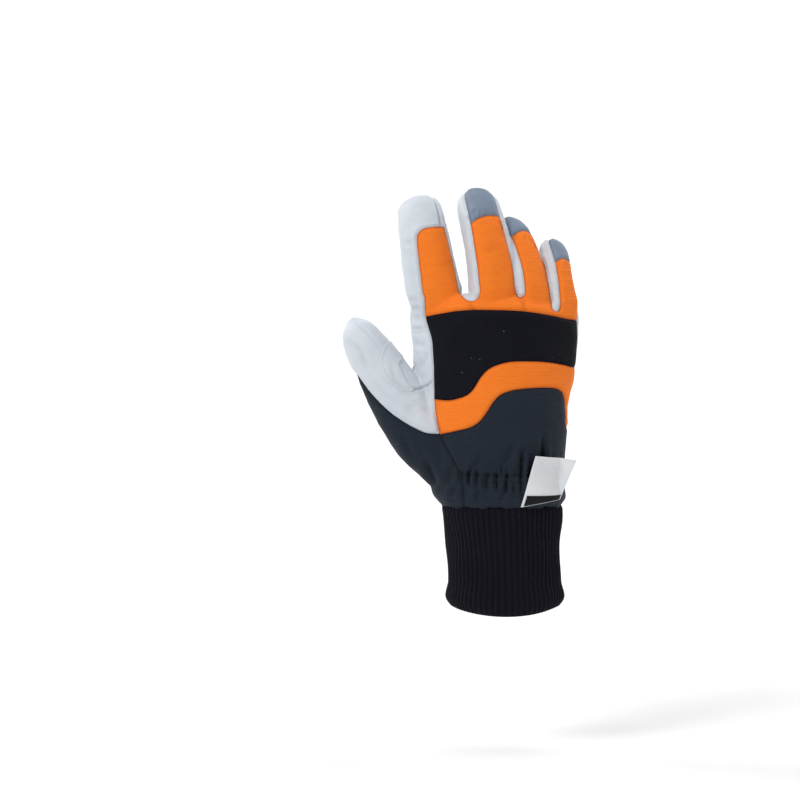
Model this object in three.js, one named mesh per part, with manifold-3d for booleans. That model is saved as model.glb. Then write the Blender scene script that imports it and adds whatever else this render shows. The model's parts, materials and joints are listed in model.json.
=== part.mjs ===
// Work glove with knitted cuff, right hand, in the form it has when worn.
// Millimetres. Fingers point along +Z, the thumb to -X, the back of the hand to -Y.
// The origin is the centre of the cuff's mouth, where the wrist goes in.
//
// The glove's form is a union of limbs: the hand and five digits, each lofted through a few sections.
// The same limbs, made thinner by the wall, hollow it out. What is left is one wall, and the sewing
// pattern cuts that wall into panels: each panel claims its region, and the next takes from what remains.
import * as THREE from "three";
import { mergeVertices } from "three/addons/utils/BufferGeometryUtils.js";
import Module from "manifold-3d";

const wasm = await Module();
wasm.setup();

// Sizes of the hand
const HAND_LENGTH = 133; // cuff seam to the crotches of the fingers
const PALM_WIDTH = 110; // across the knuckles
const PALM_DEPTH = 54; // back to palm, at the heel of the hand
const WALL = 2.4; // shell material with its lining
const ULNAR_SEAM_Y = 10; // side seam below the little finger
const WAIST_PINCH = 2.2; // how far the elastic draws the back of the wrist in
const GATHER_HEIGHT = 1.0; // ruffles on each side of the elastic

// Sizes of the digits
const INDEX_LENGTH = 79;
const INDEX_WIDTH = 34;
const MIDDLE_LENGTH = 85;
const MIDDLE_WIDTH = 31;
const RING_LENGTH = 70;
const RING_WIDTH = 25.6;
const LITTLE_LENGTH = 57;
const LITTLE_WIDTH = 20;
const FINGER_DEPTH = 26;
const LITTLE_DEPTH = 21;
const THUMB_LENGTH = 123;
const THUMB_WIDTH = 33;
const THUMB_DEPTH = 27;

// Sizes of the cuff, the layered patches and the label
const CUFF_LENGTH = 72;
const CUFF_WIDTH = 75;
const CUFF_DEPTH = 50;
const CUFF_WALL = 3;
const HEM_RISE = 5; // how far the cuff's hem lifts at its two sides
const SEAM_DROP = 6; // how far the cuff seam sinks on the palm, at the thumb's side
const RIB_COUNT = 40;
const RIB_HEIGHT = 0.8;
const PATCH_THICKNESS = 1.2;
const PATCH_INSET = 7; // between the side seam and the palm patch
const LABEL_THICKNESS = 0.8;
const LABEL_STAND = 1.6; // off the fabric at its sewn end
const SEAM_GAP = 0.3;

// Fineness of the facets
const HAND_SEGMENTS = 44;
const DIGIT_SEGMENTS = 16;
const PATH_STEPS = 24;
const REACH = 90; // cutters run this far past the glove
const SLIVER = 0.08; // facets closer than this to their neighbours' plane are merged
const DEGREE = Math.PI / 180;

// Sections of the hand from the cuff seam up. up is a share of HAND_LENGTH, left and right of PALM_WIDTH,
// depth and arch of PALM_DEPTH. arch is how far the side edges curve towards the palm, and drop how far
// the little finger's side of the section lies lower.
const HAND_SECTIONS = [
  { up: 0.0, left: -0.385, right: 0.34, depth: 0.96, middle: 0.0, arch: 0.0, drop: 0.0 },
  { up: 0.02, left: -0.405, right: 0.358, depth: 1.03, middle: 0.0, arch: 0.0, drop: 0.0 },
  { up: 0.06, left: -0.43, right: 0.357, depth: 1.05, middle: 0.0, arch: 0.02, drop: 0.0 },
  { up: 0.105, left: -0.435, right: 0.349, depth: 1.02, middle: 0.0, arch: 0.03, drop: 0.0 },
  { up: 0.15, left: -0.44, right: 0.347, depth: 0.99, middle: 0.0, arch: 0.04, drop: 0.0 },
  { up: 0.2, left: -0.45, right: 0.35, depth: 1.01, middle: 0.005, arch: 0.05, drop: 0.0 },
  { up: 0.28, left: -0.47, right: 0.362, depth: 1.02, middle: 0.01, arch: 0.06, drop: 0.0 },
  { up: 0.38, left: -0.48, right: 0.375, depth: 0.99, middle: 0.015, arch: 0.08, drop: 0.0 },
  { up: 0.5, left: -0.505, right: 0.38, depth: 0.93, middle: 0.02, arch: 0.11, drop: 0.0 },
  { up: 0.62, left: -0.53, right: 0.41, depth: 0.85, middle: 0.025, arch: 0.14, drop: 0.0 },
  { up: 0.74, left: -0.545, right: 0.43, depth: 0.76, middle: 0.03, arch: 0.17, drop: 0.0 },
  { up: 0.85, left: -0.555, right: 0.436, depth: 0.68, middle: 0.035, arch: 0.19, drop: 0.01 },
  { up: 0.93, left: -0.562, right: 0.436, depth: 0.61, middle: 0.04, arch: 0.2, drop: 0.03 },
  { up: 0.99, left: -0.555, right: 0.432, depth: 0.48, middle: 0.045, arch: 0.2, drop: 0.08 },
  { up: 1.025, left: -0.54, right: 0.42, depth: 0.24, middle: 0.05, arch: 0.2, drop: 0.1 },
];
const ELASTIC_UP = 0.15; // share of HAND_LENGTH at which the elastic crosses the back
const ELASTIC_FROM = -0.28; // shares of PALM_WIDTH between which it gathers
const ELASTIC_TO = 0.33;
const GATHER_REACH = 0.07; // share of HAND_LENGTH over which the gathers fade

// The digits' fullness: wide and deep are shares of a digit's own half width and half depth.
const FINGER_FULLNESS = [
  { along: 0.0, wide: 0.9, deep: 0.8 },
  { along: 0.16, wide: 1.06, deep: 1.0 },
  { along: 0.34, wide: 1.04, deep: 1.0 },
  { along: 0.52, wide: 0.99, deep: 0.98 },
  { along: 0.7, wide: 0.95, deep: 0.94 },
  { along: 0.83, wide: 0.9, deep: 0.88 },
  { along: 0.915, wide: 0.8, deep: 0.77 },
  { along: 0.968, wide: 0.58, deep: 0.56 },
  { along: 1.0, wide: 0.2, deep: 0.2 },
];
const THUMB_FULLNESS = [
  { along: 0.0, wide: 1.1, deep: 1.2 },
  { along: 0.22, wide: 1.3, deep: 1.32 },
  { along: 0.4, wide: 1.27, deep: 1.24 },
  { along: 0.52, wide: 1.16, deep: 1.1 },
  { along: 0.66, wide: 1.01, deep: 1.0 },
  { along: 0.78, wide: 0.9, deep: 0.92 },
  { along: 0.87, wide: 0.79, deep: 0.82 },
  { along: 0.94, wide: 0.6, deep: 0.62 },
  { along: 1.0, wide: 0.16, deep: 0.18 },
];

// Where each digit leaves the hand (shares of PALM_WIDTH and HAND_LENGTH), and in degrees how it leans
// sideways and curls towards the palm at its root and tip, and how far its back is turned to the ulnar side.
const DIGITS = {
  index: {
    across: -0.39, up: 0.925, length: INDEX_LENGTH, width: INDEX_WIDTH, depth: FINGER_DEPTH,
    lean: [-13, -7], curl: [1, 22], roll: 0, fullness: FINGER_FULLNESS,
  },
  middle: {
    across: -0.05, up: 0.925, length: MIDDLE_LENGTH, width: MIDDLE_WIDTH, depth: FINGER_DEPTH,
    lean: [-4, -18], curl: [1, 36], roll: 19, fullness: FINGER_FULLNESS,
  },
  ring: {
    across: 0.17, up: 0.915, length: RING_LENGTH, width: RING_WIDTH, depth: FINGER_DEPTH * 0.94,
    lean: [-4, -30], curl: [11, 44], roll: 34, fullness: FINGER_FULLNESS,
  },
  little: {
    across: 0.345, up: 0.885, length: LITTLE_LENGTH, width: LITTLE_WIDTH, depth: LITTLE_DEPTH,
    lean: [-5, -12], curl: [11, 44], roll: 38, fullness: FINGER_FULLNESS,
  },
  thumb: {
    across: -0.273, up: 0.15, length: THUMB_LENGTH, width: THUMB_WIDTH, depth: THUMB_DEPTH,
    lean: [-44, -26], curl: [2, 12], roll: -8, fullness: THUMB_FULLNESS,
  },
};

// Seams on the hand as [share of PALM_WIDTH across, share of HAND_LENGTH up], seen from the back.
const BAND_TOP = [
  [-0.473, 0.912], [-0.382, 0.93], [-0.261, 0.945], [-0.118, 0.949], [0.085, 0.943], [0.238, 0.926],
  [0.36, 0.905], [0.56, 0.866],
];
const BAND_BOTTOM = [
  [-0.424, 0.514], [-0.342, 0.511], [-0.251, 0.53], [-0.2, 0.559], [-0.149, 0.623], [-0.098, 0.665],
  [-0.016, 0.692], [0.085, 0.7], [0.238, 0.695], [0.34, 0.68], [0.421, 0.661], [0.56, 0.63],
];
const WAVE_BOTTOM = [
  [-0.389, 0.345], [-0.3, 0.362], [-0.209, 0.383], [-0.149, 0.417], [-0.108, 0.463], [-0.067, 0.514],
  [-0.016, 0.547], [0.065, 0.565], [0.186, 0.571], [0.289, 0.567], [0.34, 0.545], [0.358, 0.5],
  [0.366, 0.43], [0.385, 0.36], [0.56, 0.3],
];
const LEATHER_EDGE = [
  [-0.389, 0.345], [-0.41, 0.43], [-0.424, 0.514], [-0.424, 0.593], [-0.434, 0.787], [-0.473, 0.912],
  [-0.479, 1.04],
];
const THUMB_SEAM = [
  [-1.15, 0.72], [-0.93, 0.66], [-0.794, 0.535], [-0.688, 0.452], [-0.583, 0.395], [-0.477, 0.352],
  [-0.389, 0.345],
];
const GUSSET_SEAM = [[-0.389, 0.345], [-0.342, 0.265], [-0.281, 0.181], [-0.255, 0.098], [-0.24, -0.1]];
const PALM_GUSSET_SEAM = [
  [-1.15, 0.72], [-0.93, 0.66], [-0.79, 0.504], [-0.636, 0.376], [-0.455, 0.256], [-0.273, 0.15],
  [-0.109, 0.06], [0.0, -0.1],
];
const CROTCH_SEAM = [[-0.434, 0.597], [-0.53, 0.575], [-0.53, 0.65]];
const KNUCKLE_TOP = [
  [-0.479, 1.06], [-0.252, 1.06], [-0.238, 1.02], [-0.218, 0.998], [-0.188, 0.99], [-0.16, 1.0],
  [-0.152, 1.03], [-0.155, 1.06], [0.06, 1.06], [0.066, 1.01], [0.085, 0.99], [0.104, 1.0],
  [0.112, 1.06], [0.27, 1.06], [0.275, 0.99], [0.288, 0.95], [0.304, 0.934], [0.32, 0.95],
  [0.325, 1.0], [0.56, 1.0],
];
const PATCH_OUTLINE = [
  [-0.6, 0.806], [-0.4, 0.822], [-0.2, 0.83], [0.1, 0.83], [0.3, 0.815], [0.56, 0.79], [0.56, 0.1], [0.38, 0.1], [0.345, 0.16],
  [0.264, 0.25], [0.136, 0.335], [-0.012, 0.405], [-0.16, 0.457], [-0.275, 0.478], [-0.3, 0.57],
  [-0.335, 0.655], [-0.6, 0.665],
];
const STRAP_PALM = [
  [-0.3, 0.49], [-0.325, 0.57], [-0.36, 0.66], [-0.5, 0.67], [-0.6, 0.7], [-0.69, 0.79], [-0.79, 0.71],
  [-0.75, 0.56], [-0.7, 0.49],
];
const STRAP_BACK = [
  [-0.66, 0.8], [-0.71, 0.775], [-0.732, 0.735], [-0.737, 0.69], [-0.722, 0.64], [-0.69, 0.6],
  [-0.64, 0.567], [-0.59, 0.55], [-0.54, 0.552], [-0.55, 0.575], [-0.575, 0.592], [-0.592, 0.62],
  [-0.605, 0.65], [-0.625, 0.68], [-0.6, 0.72],
];

// Dorsal panels of the fingers: left and right edges as shares of the half width, and the share of the
// length at which the tip piece starts.
const BACK_HALF = 0.82;
const FRONT_HALF = 0.75;
const INDEX_BACK = { left: [-0.46, -0.24], right: [0.86, 0.86], end: 0.69 };
const TIP_STARTS = { middle: 0.7, ring: 0.73, little: 0.64 };
const BACK_START = 0.1;
const FRONT_START = 0.02;

// Geometry helpers
const lerp = (a, b, t) => a + (b - a) * t;
const handX = (across) => across * PALM_WIDTH;
const handZ = (up) => CUFF_LENGTH + up * HAND_LENGTH;

// A value between the rows of a table, by a column that rises.
function between(rows, key, at, column) {
  const next = rows.findIndex((row) => row[key] >= at);
  if (next <= 0) return next === 0 ? rows[0][column] : rows[rows.length - 1][column];
  const [a, b] = [rows[next - 1], rows[next]];
  return lerp(a[column], b[column], (at - a[key]) / (b[key] - a[key]));
}

// Turns a closed buffer geometry into a solid that can be joined and cut.
function toSolid(geometry) {
  const bare = geometry.index ? geometry.toNonIndexed() : geometry;
  const points = new THREE.BufferGeometry().setAttribute("position", bare.getAttribute("position"));
  const merged = mergeVertices(points, 1e-3);
  return new wasm.Manifold(
    new wasm.Mesh({
      numProp: 3,
      vertProperties: merged.attributes.position.array,
      triVerts: new Uint32Array(merged.index.array),
    }),
  );
}

function toGeometry(solid) {
  const mesh = solid.getMesh();
  const geometry = new THREE.BufferGeometry();
  const positions = new Float32Array(mesh.numVert * 3);
  for (let v = 0; v < mesh.numVert; v++) {
    for (let k = 0; k < 3; k++) positions[v * 3 + k] = mesh.vertProperties[v * mesh.numProp + k];
  }
  geometry.setAttribute("position", new THREE.BufferAttribute(positions, 3));
  geometry.setIndex([...mesh.triVerts]);
  geometry.computeVertexNormals();
  return geometry;
}

// Closed solid through rings of points. Each ring runs counterclockwise about the way it is lofted.
function loft(rings) {
  const corners = [];
  const count = rings[0].length;
  const centre = (ring) => ring.reduce((sum, p) => sum.clone().add(p), new THREE.Vector3()).divideScalar(count);
  const [first, last] = [rings[0], rings[rings.length - 1]];
  const [bottom, top] = [centre(first), centre(last)];
  for (let j = 0; j < count; j++) {
    const k = (j + 1) % count;
    corners.push(bottom, first[k], first[j], top, last[j], last[k]);
    for (let i = 0; i + 1 < rings.length; i++) {
      corners.push(rings[i][j], rings[i][k], rings[i + 1][k], rings[i][j], rings[i + 1][k], rings[i + 1][j]);
    }
  }
  return toSolid(new THREE.BufferGeometry().setFromPoints(corners));
}

// A point of a rounded rectangle between an ellipse and a box, at an angle.
function oval(angle, squareness) {
  const bend = (value) => Math.sign(value) * Math.abs(value) ** (2 / squareness);
  return [bend(Math.cos(angle)), bend(Math.sin(angle))];
}

function joined(solids) {
  return solids.reduce((sum, one) => sum.add(one));
}

// The elastic's dent and the ruffles beside it, on the back of the wrist.
function gather(across, up, j) {
  const inside = across > ELASTIC_FROM && across < ELASTIC_TO;
  const fade = Math.exp(-(((up - ELASTIC_UP) / GATHER_REACH) ** 2));
  return inside ? fade * (WAIST_PINCH + (j % 2 ? GATHER_HEIGHT : -GATHER_HEIGHT)) : 0;
}

// How far the cuff seam sinks below its level, on the palm's side towards the thumb.
function seamDrop(c, s) {
  return SEAM_DROP * Math.max(0, s) * (0.5 - 0.5 * c);
}

// One section of the hand, grown outwards or inwards.
function handRing(row, grow, segments) {
  const middleX = (handX(row.left) + handX(row.right)) / 2;
  const halfWidth = (handX(row.right) - handX(row.left)) / 2 + grow;
  const halfDepth = (row.depth * PALM_DEPTH) / 2 + grow;
  return Array.from({ length: segments }, (_, j) => {
    const [c, s] = oval((j / segments) * 2 * Math.PI, 2.35);
    const x = middleX + halfWidth * c;
    const dent = s < 0 ? gather(x / PALM_WIDTH, row.up, j) * Math.min(1, -s * 1.5) : 0;
    const y = row.middle * PALM_DEPTH + halfDepth * s + row.arch * PALM_DEPTH * c * c + dent;
    const sunk = row.drop * PALM_WIDTH * Math.max(0, c) ** 2 + seamDrop(c, s) * Math.max(0, 1 - row.up / 0.15);
    return new THREE.Vector3(x, y, handZ(row.up) - sunk);
  });
}

function handSolid(grow, openBelow = 0) {
  const rings = HAND_SECTIONS.map((row) => handRing(row, grow, HAND_SEGMENTS));
  const lift = new THREE.Vector3(0, 0, grow);
  rings[rings.length - 1].forEach((p) => p.add(lift));
  if (openBelow) rings.unshift(rings[0].map((p) => p.clone().add(new THREE.Vector3(0, 0, -openBelow))));
  return loft(rings);
}

// Middle of the palm's curved section, at which a digit leaves it.
function handMiddleY(across, up) {
  const value = (column) => between(HAND_SECTIONS, "up", up, column);
  const [left, right] = [value("left"), value("right")];
  const c = (across - (left + right) / 2) / ((right - left) / 2);
  return (value("middle") + value("arch") * Math.min(1, c * c)) * PALM_DEPTH;
}

// A digit's frame at a share of its length: where it is and its along, across and back directions.
function digitFrame(digit, share, extra = 0) {
  const at = new THREE.Vector3(handX(digit.across), handMiddleY(digit.across, digit.up), handZ(digit.up));
  const along = new THREE.Vector3();
  const run = (share * (digit.length + extra)) / PATH_STEPS;
  for (let i = 0; i <= PATH_STEPS; i++) {
    const s = (share * i) / PATH_STEPS;
    const lean = lerp(digit.lean[0], digit.lean[1], s) * DEGREE;
    const curl = lerp(digit.curl[0], digit.curl[1], s * s) * DEGREE;
    along.set(Math.sin(lean) * Math.cos(curl), Math.sin(curl), Math.cos(lean) * Math.cos(curl));
    if (i < PATH_STEPS) at.addScaledVector(along, run);
  }
  const flat = new THREE.Vector3(1, 0, 0).addScaledVector(along, -along.x).normalize();
  const flatBack = new THREE.Vector3().crossVectors(flat, along);
  const [c, s] = [Math.cos(digit.roll * DEGREE), Math.sin(digit.roll * DEGREE)];
  const across = flat.clone().multiplyScalar(c).addScaledVector(flatBack, -s);
  const back = flatBack.clone().multiplyScalar(c).addScaledVector(flat, s);
  return { at, along, across, back };
}

function digitSize(digit, share) {
  return {
    wide: (between(digit.fullness, "along", share, "wide") * digit.width) / 2,
    deep: (between(digit.fullness, "along", share, "deep") * digit.depth) / 2,
  };
}

function digitSolid(digit, grow) {
  const rings = digit.fullness.map(({ along: share }) => {
    const { at, across, back } = digitFrame(digit, share, grow);
    const { wide, deep } = digitSize(digit, share);
    const [a, b] = [Math.max(wide + grow, 0.6), Math.max(deep + grow, 0.6)];
    return Array.from({ length: DIGIT_SEGMENTS }, (_, j) => {
      const [c, s] = oval((j / DIGIT_SEGMENTS) * 2 * Math.PI, 2.2);
      return at.clone().addScaledVector(across, a * c).addScaledVector(back, -b * s);
    });
  });
  return loft(rings);
}

// The glove's whole form, without its cuff, grown by so much.
function form(grow, openBelow = 0) {
  return joined([handSolid(grow, openBelow), ...Object.values(DIGITS).map((digit) => digitSolid(digit, grow))]);
}

// Cutter along a digit: a box between two side edges given as shares of its half width, one at its root
// and one at its tip, and between two heights over its axis given as shares of its half depth.
function digitCutter(digit, { from, to, left, right, low, high }, grow) {
  const steps = 9;
  const rings = Array.from({ length: steps + 1 }, (_, i) => {
    const end = i === 0 ? -grow : i === steps ? grow : 0;
    const share = lerp(from, to, i / steps) + end / digit.length;
    const { at, across, back } = digitFrame(digit, Math.max(0, share));
    const { wide, deep } = digitSize(digit, Math.min(share, 1));
    const [l, r] = [lerp(...left, share) * wide - grow, lerp(...right, share) * wide + grow];
    const [b, t] = [low * deep - grow, high * deep + grow];
    const corner = (x, y) => at.clone().addScaledVector(across, x).addScaledVector(back, y);
    return [corner(l, t), corner(r, t), corner(r, b), corner(l, b)];
  });
  return loft(rings);
}

// Cutter straight through the hand: an outline in the XZ plane, grown by its normals, between two depths.
function handCutter(outline, yFrom, yTo, grow) {
  const points = outline.map(([across, up]) => new THREE.Vector2(handX(across), handZ(up)));
  const turn = THREE.ShapeUtils.area(points) < 0 ? -1 : 1;
  const normal = (a, b) => new THREE.Vector2(b.y - a.y, a.x - b.x).normalize().multiplyScalar(turn);
  const grown = points.map((p, i) => {
    const before = points[(i + points.length - 1) % points.length];
    const after = points[(i + 1) % points.length];
    const [n, m] = [normal(before, p), normal(p, after)];
    const mitre = n.clone().add(m).normalize();
    return p.clone().addScaledVector(mitre, grow / Math.max(0.5, mitre.dot(n)));
  });
  const shape = new THREE.Shape(turn > 0 ? grown : grown.reverse());
  const prism = new THREE.ExtrudeGeometry(shape, { depth: yTo - yFrom, bevelEnabled: false });
  prism.rotateX(Math.PI / 2); // the outline's up becomes +Z, and the extrusion runs along -Y
  prism.translate(0, yTo, 0);
  return toSolid(prism);
}

// A seam drawn smooth through its points.
function smooth(seam, perSpan = 2) {
  const curve = new THREE.SplineCurve(seam.map(([x, y]) => new THREE.Vector2(x, y)));
  return curve.getPoints(perSpan * (seam.length - 1)).map((p) => [p.x, p.y]);
}

const reversed = (seam) => [...seam].reverse();

// The part of a seam above or below a height, ending on it.
const above = (seam, up) => seam.filter((p) => p[1] >= up);
const below = (seam, up) => seam.filter((p) => p[1] <= up);

// The pattern
const shell = form(0).subtract(form(-WALL, WALL * 2));
let remaining = shell;
const panels = {};

// The largest connected body of a solid, with the slivers that cutting leaves merged away.
function mainBody(solid) {
  const bodies = toSolid(toGeometry(solid)).simplify(SLIVER).decompose();
  return bodies.reduce((best, one) => (one.volume() > best.volume() ? one : best));
}

function claim(name, cutter) {
  panels[name] = mainBody(remaining.intersect(cutter(0)));
  remaining = remaining.subtract(cutter(SEAM_GAP));
}

const backOf = (outline) => (grow) => handCutter(outline, -REACH, ULNAR_SEAM_Y + grow, grow);
const leatherEdge = smooth(LEATHER_EDGE);
const edgeBetween = (low, high) => below(above(leatherEdge, low), high);
const far = (seam, index) => seam[index < 0 ? seam.length + index : index];

const across = (half) => ({ left: [-half, -half], right: [half, half] });
const backPanel = { low: 0, high: 1.7, ...across(BACK_HALF) };
claim("knuckle_panel", (grow) =>
  joined([
    backOf([...reversed(smooth(BAND_TOP)), ...KNUCKLE_TOP])(grow),
    digitCutter(DIGITS.index, { ...backPanel, ...INDEX_BACK, from: BACK_START, to: INDEX_BACK.end }, grow),
    ...Object.entries(TIP_STARTS).map(([name, end]) =>
      digitCutter(DIGITS[name], { ...backPanel, from: BACK_START, to: end }, grow),
    ),
  ]),
);
for (const [name, start] of Object.entries(TIP_STARTS)) {
  claim(`${name}_tip`, (grow) =>
    digitCutter(DIGITS[name], { ...backPanel, from: start, to: 1.08 }, grow),
  );
}
claim("back_band", backOf([...smooth(BAND_BOTTOM), ...reversed(smooth(BAND_TOP)), ...reversed(edgeBetween(0.55, 0.9))]));
claim("wave_band", backOf([...smooth(WAVE_BOTTOM), ...reversed(smooth(BAND_BOTTOM)), ...reversed(edgeBetween(0.36, 0.5))]));
claim("wrist_back", backOf([...reversed(smooth(WAVE_BOTTOM)), ...smooth(GUSSET_SEAM), [0.56, -0.1]]));

const frontPanel = { low: -1.7, high: 0, ...across(FRONT_HALF), from: FRONT_START, to: 1.08 };
claim("middle_front", (grow) => digitCutter(DIGITS.middle, frontPanel, grow));
claim("ring_front", (grow) => digitCutter(DIGITS.ring, frontPanel, grow));

// A fourchette lines the facing sides of two fingers and the crotch between them.
const CROTCHES = { index_middle: [-0.19, 1.0], middle_ring: [0.085, 1.0], ring_little: [0.304, 0.941] };
const sidePanel = { low: -1.7, high: 1.7, from: 0.1, to: 1.08 };
for (const [pair, [across, up]] of Object.entries(CROTCHES)) {
  const [left, right] = pair.split("_");
  const valley = [
    [across - 0.05, up - 0.03], [across + 0.05, up - 0.03], [across + 0.075, up + 0.03], [across + 0.06, up + 0.11],
    [across - 0.06, up + 0.11], [across - 0.075, up + 0.03],
  ];
  claim(`fourchette_${pair}`, (grow) =>
    joined([
      handCutter(valley, -REACH, REACH, grow),
      digitCutter(DIGITS[left], { ...sidePanel, left: [FRONT_HALF, FRONT_HALF], right: [1.5, 1.5] }, grow),
      digitCutter(DIGITS[right], { ...sidePanel, left: [-1.5, -1.5], right: [-FRONT_HALF, -FRONT_HALF] }, grow),
    ]),
  );
}

const THUMB_PLANE_Y = 4;
const wristEnd = -0.1;
claim("thumb_gusset", (grow) =>
  joined([
    handCutter([...smooth(THUMB_SEAM), ...smooth(GUSSET_SEAM).slice(1), [-1.15, wristEnd]], -REACH, THUMB_PLANE_Y, grow),
    handCutter([...smooth(PALM_GUSSET_SEAM), [-1.15, wristEnd]], THUMB_PLANE_Y, REACH, grow),
  ]),
);
claim("thumb_back", (grow) =>
  handCutter(
    [...smooth(THUMB_SEAM), ...edgeBetween(0.35, 0.59), ...CROTCH_SEAM, [-0.53, 1.0], [-1.15, 1.0]],
    -REACH, REACH, grow,
  ).intersect(digitCutter(DIGITS.thumb, { low: 0, high: 3, ...across(2.4), from: 0, to: 1.08 }, grow)),
);
panels.palm_leather = mainBody(remaining);

// Patches sewn on top of the shell
remaining = form(SEAM_GAP + PATCH_THICKNESS).subtract(form(SEAM_GAP));
claim("crotch_strap", (grow) =>
  joined([
    handCutter(STRAP_BACK, -REACH, ULNAR_SEAM_Y, grow),
    handCutter(STRAP_PALM, ULNAR_SEAM_Y - 1, REACH, grow),
  ]),
);
claim("palm_patch", (grow) => handCutter(PATCH_OUTLINE, ULNAR_SEAM_Y + PATCH_INSET, REACH, grow));

// Knitted cuff: ribbed outside, smooth inside, open at both ends
const CUFF_SECTIONS = [
  { up: 0.0, wide: 0.94, deep: 0.94 },
  { up: 0.05, wide: 1.0, deep: 1.0 },
  { up: 0.3, wide: 0.975, deep: 0.97 },
  { up: 0.64, wide: 0.99, deep: 0.98 },
  { up: 0.85, wide: 1.03, deep: 1.0 },
  { up: 1.0, wide: 1.05, deep: 1.02 },
];
function cuffRings(grow, segments, rib, top) {
  const seamX = handX((HAND_SECTIONS[0].left + HAND_SECTIONS[0].right) / 2);
  return CUFF_SECTIONS.map(({ up, wide, deep }) =>
    Array.from({ length: segments }, (_, j) => {
      const [c, s] = oval((j / segments) * 2 * Math.PI, 2.2);
      const out = grow + (j % 2 ? rib : 0);
      const x = seamX * up * up + ((wide * CUFF_WIDTH) / 2 + out) * c;
      const hem = HEM_RISE * c * c * Math.max(0, 1 - up * 3);
      return new THREE.Vector3(x, ((deep * CUFF_DEPTH) / 2 + out) * s, up * top + hem - seamDrop(c, s) * up * up);
    }),
  );
}
const cuffHollow = cuffRings(-CUFF_WALL, RIB_COUNT, 0, CUFF_LENGTH);
const shifted = (ring, z) => ring.map((p) => new THREE.Vector3(p.x, p.y, z));
cuffHollow.unshift(shifted(cuffHollow[0], -REACH));
cuffHollow.push(shifted(cuffHollow[cuffHollow.length - 1], CUFF_LENGTH + REACH));
panels.knit_cuff = loft(cuffRings(0, RIB_COUNT * 2, -RIB_HEIGHT, CUFF_LENGTH - SEAM_GAP)).subtract(loft(cuffHollow));

// Care label, sewn into the cuff seam: it leans and stands off the back of the wrist
const LABEL_CORNERS = {
  bottomLeft: [0.085, -0.005], bottomRight: [0.319, 0.028], topLeft: [0.171, 0.245], topRight: [0.416, 0.219],
};
const STRIP_TOP = 0.21; // the dark strip's share of the label's height
function backY(x, z) {
  const up = (z - CUFF_LENGTH) / HAND_LENGTH;
  const value = (column) => between(HAND_SECTIONS, "up", up, column);
  const [left, right] = [handX(value("left")), handX(value("right"))];
  const u = Math.min(0.9, Math.abs(x - (left + right) / 2) / ((right - left) / 2));
  const bulge = (value("depth") / 2) * (1 - u ** 2.35) ** (1 / 2.35);
  return (value("middle") + value("arch") * u * u - bulge) * PALM_DEPTH;
}
function labelSheet(v0, v1, steps, stand, inset) {
  const point = (h, v, out) => {
    const corner = (k) => {
      const { bottomLeft, bottomRight, topLeft, topRight } = LABEL_CORNERS;
      return lerp(lerp(bottomLeft[k], bottomRight[k], h), lerp(topLeft[k], topRight[k], h), v);
    };
    const [x, z] = [handX(corner(0)), handZ(corner(1))];
    return new THREE.Vector3(x, backY(x, z) - stand - 3.5 * v * v - out, z);
  };
  const edges = [0, 0.25, 0.5, 0.75, 1].map((h) => lerp(inset, 1, h));
  const strips = edges.slice(1).map((right, k) => {
    const left = edges[k];
    const rings = Array.from({ length: steps + 1 }, (_, i) => {
      const v = lerp(v0, v1, i / steps);
      return [point(left, v, LABEL_THICKNESS), point(right, v, LABEL_THICKNESS), point(right, v, 0), point(left, v, 0)];
    });
    return loft(rings);
  });
  return mainBody(joined(strips));
}
panels.care_label = labelSheet(0.03, 1, 5, LABEL_STAND, 0);
panels.label_strip = labelSheet(0.03, STRIP_TOP, 1, LABEL_STAND + LABEL_THICKNESS * 2.2, 0.08);

const MATERIALS = {
  leather: { color: 0xd3d9dd, roughness: 0.55 },
  orange: { color: 0xff6a13, roughness: 0.85 },
  navy: { color: 0x1c2733, roughness: 0.9 },
  black: { color: 0x0d0e14, roughness: 0.9 },
  grey: { color: 0x7c8893, roughness: 0.5 },
  knit: { color: 0x0e0f18, roughness: 0.95 },
};
const FINISH = {
  knuckle_panel: "orange", wave_band: "orange", back_band: "black", wrist_back: "navy", thumb_gusset: "navy",
  middle_tip: "grey", ring_tip: "grey", little_tip: "grey", knit_cuff: "knit", label_strip: "black",
};

const glove = new THREE.Group();
for (const [name, solid] of Object.entries(panels)) {
  const finish = new THREE.MeshStandardMaterial({ ...MATERIALS[FINISH[name] ?? "leather"], metalness: 0 });
  const mesh = new THREE.Mesh(toGeometry(solid), finish);
  mesh.name = name;
  glove.add(mesh);
}

export default glove;
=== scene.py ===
"""Right-hand work glove with a knitted cuff, as it stands when worn, seen from the back of the hand.

Tables are in millimetres or in shares of the glove's own sizes; meshes are made in metres.
"""

import json
import math

import bpy
import numpy as np
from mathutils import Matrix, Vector
from mathutils.bvhtree import BVHTree


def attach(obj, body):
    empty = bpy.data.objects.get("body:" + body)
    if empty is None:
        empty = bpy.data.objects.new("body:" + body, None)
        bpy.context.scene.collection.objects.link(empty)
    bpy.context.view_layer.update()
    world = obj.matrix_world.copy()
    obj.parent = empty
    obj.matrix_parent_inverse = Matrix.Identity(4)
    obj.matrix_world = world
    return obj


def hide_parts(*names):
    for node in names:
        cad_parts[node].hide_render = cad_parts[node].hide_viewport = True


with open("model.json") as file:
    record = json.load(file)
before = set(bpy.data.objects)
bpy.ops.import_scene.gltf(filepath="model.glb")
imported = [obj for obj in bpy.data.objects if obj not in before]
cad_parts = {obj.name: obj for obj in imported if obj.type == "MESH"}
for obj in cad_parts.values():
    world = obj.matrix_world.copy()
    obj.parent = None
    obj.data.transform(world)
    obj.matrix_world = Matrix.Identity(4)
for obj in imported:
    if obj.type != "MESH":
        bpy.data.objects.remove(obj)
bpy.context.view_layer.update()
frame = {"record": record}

MM = 0.001

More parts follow.
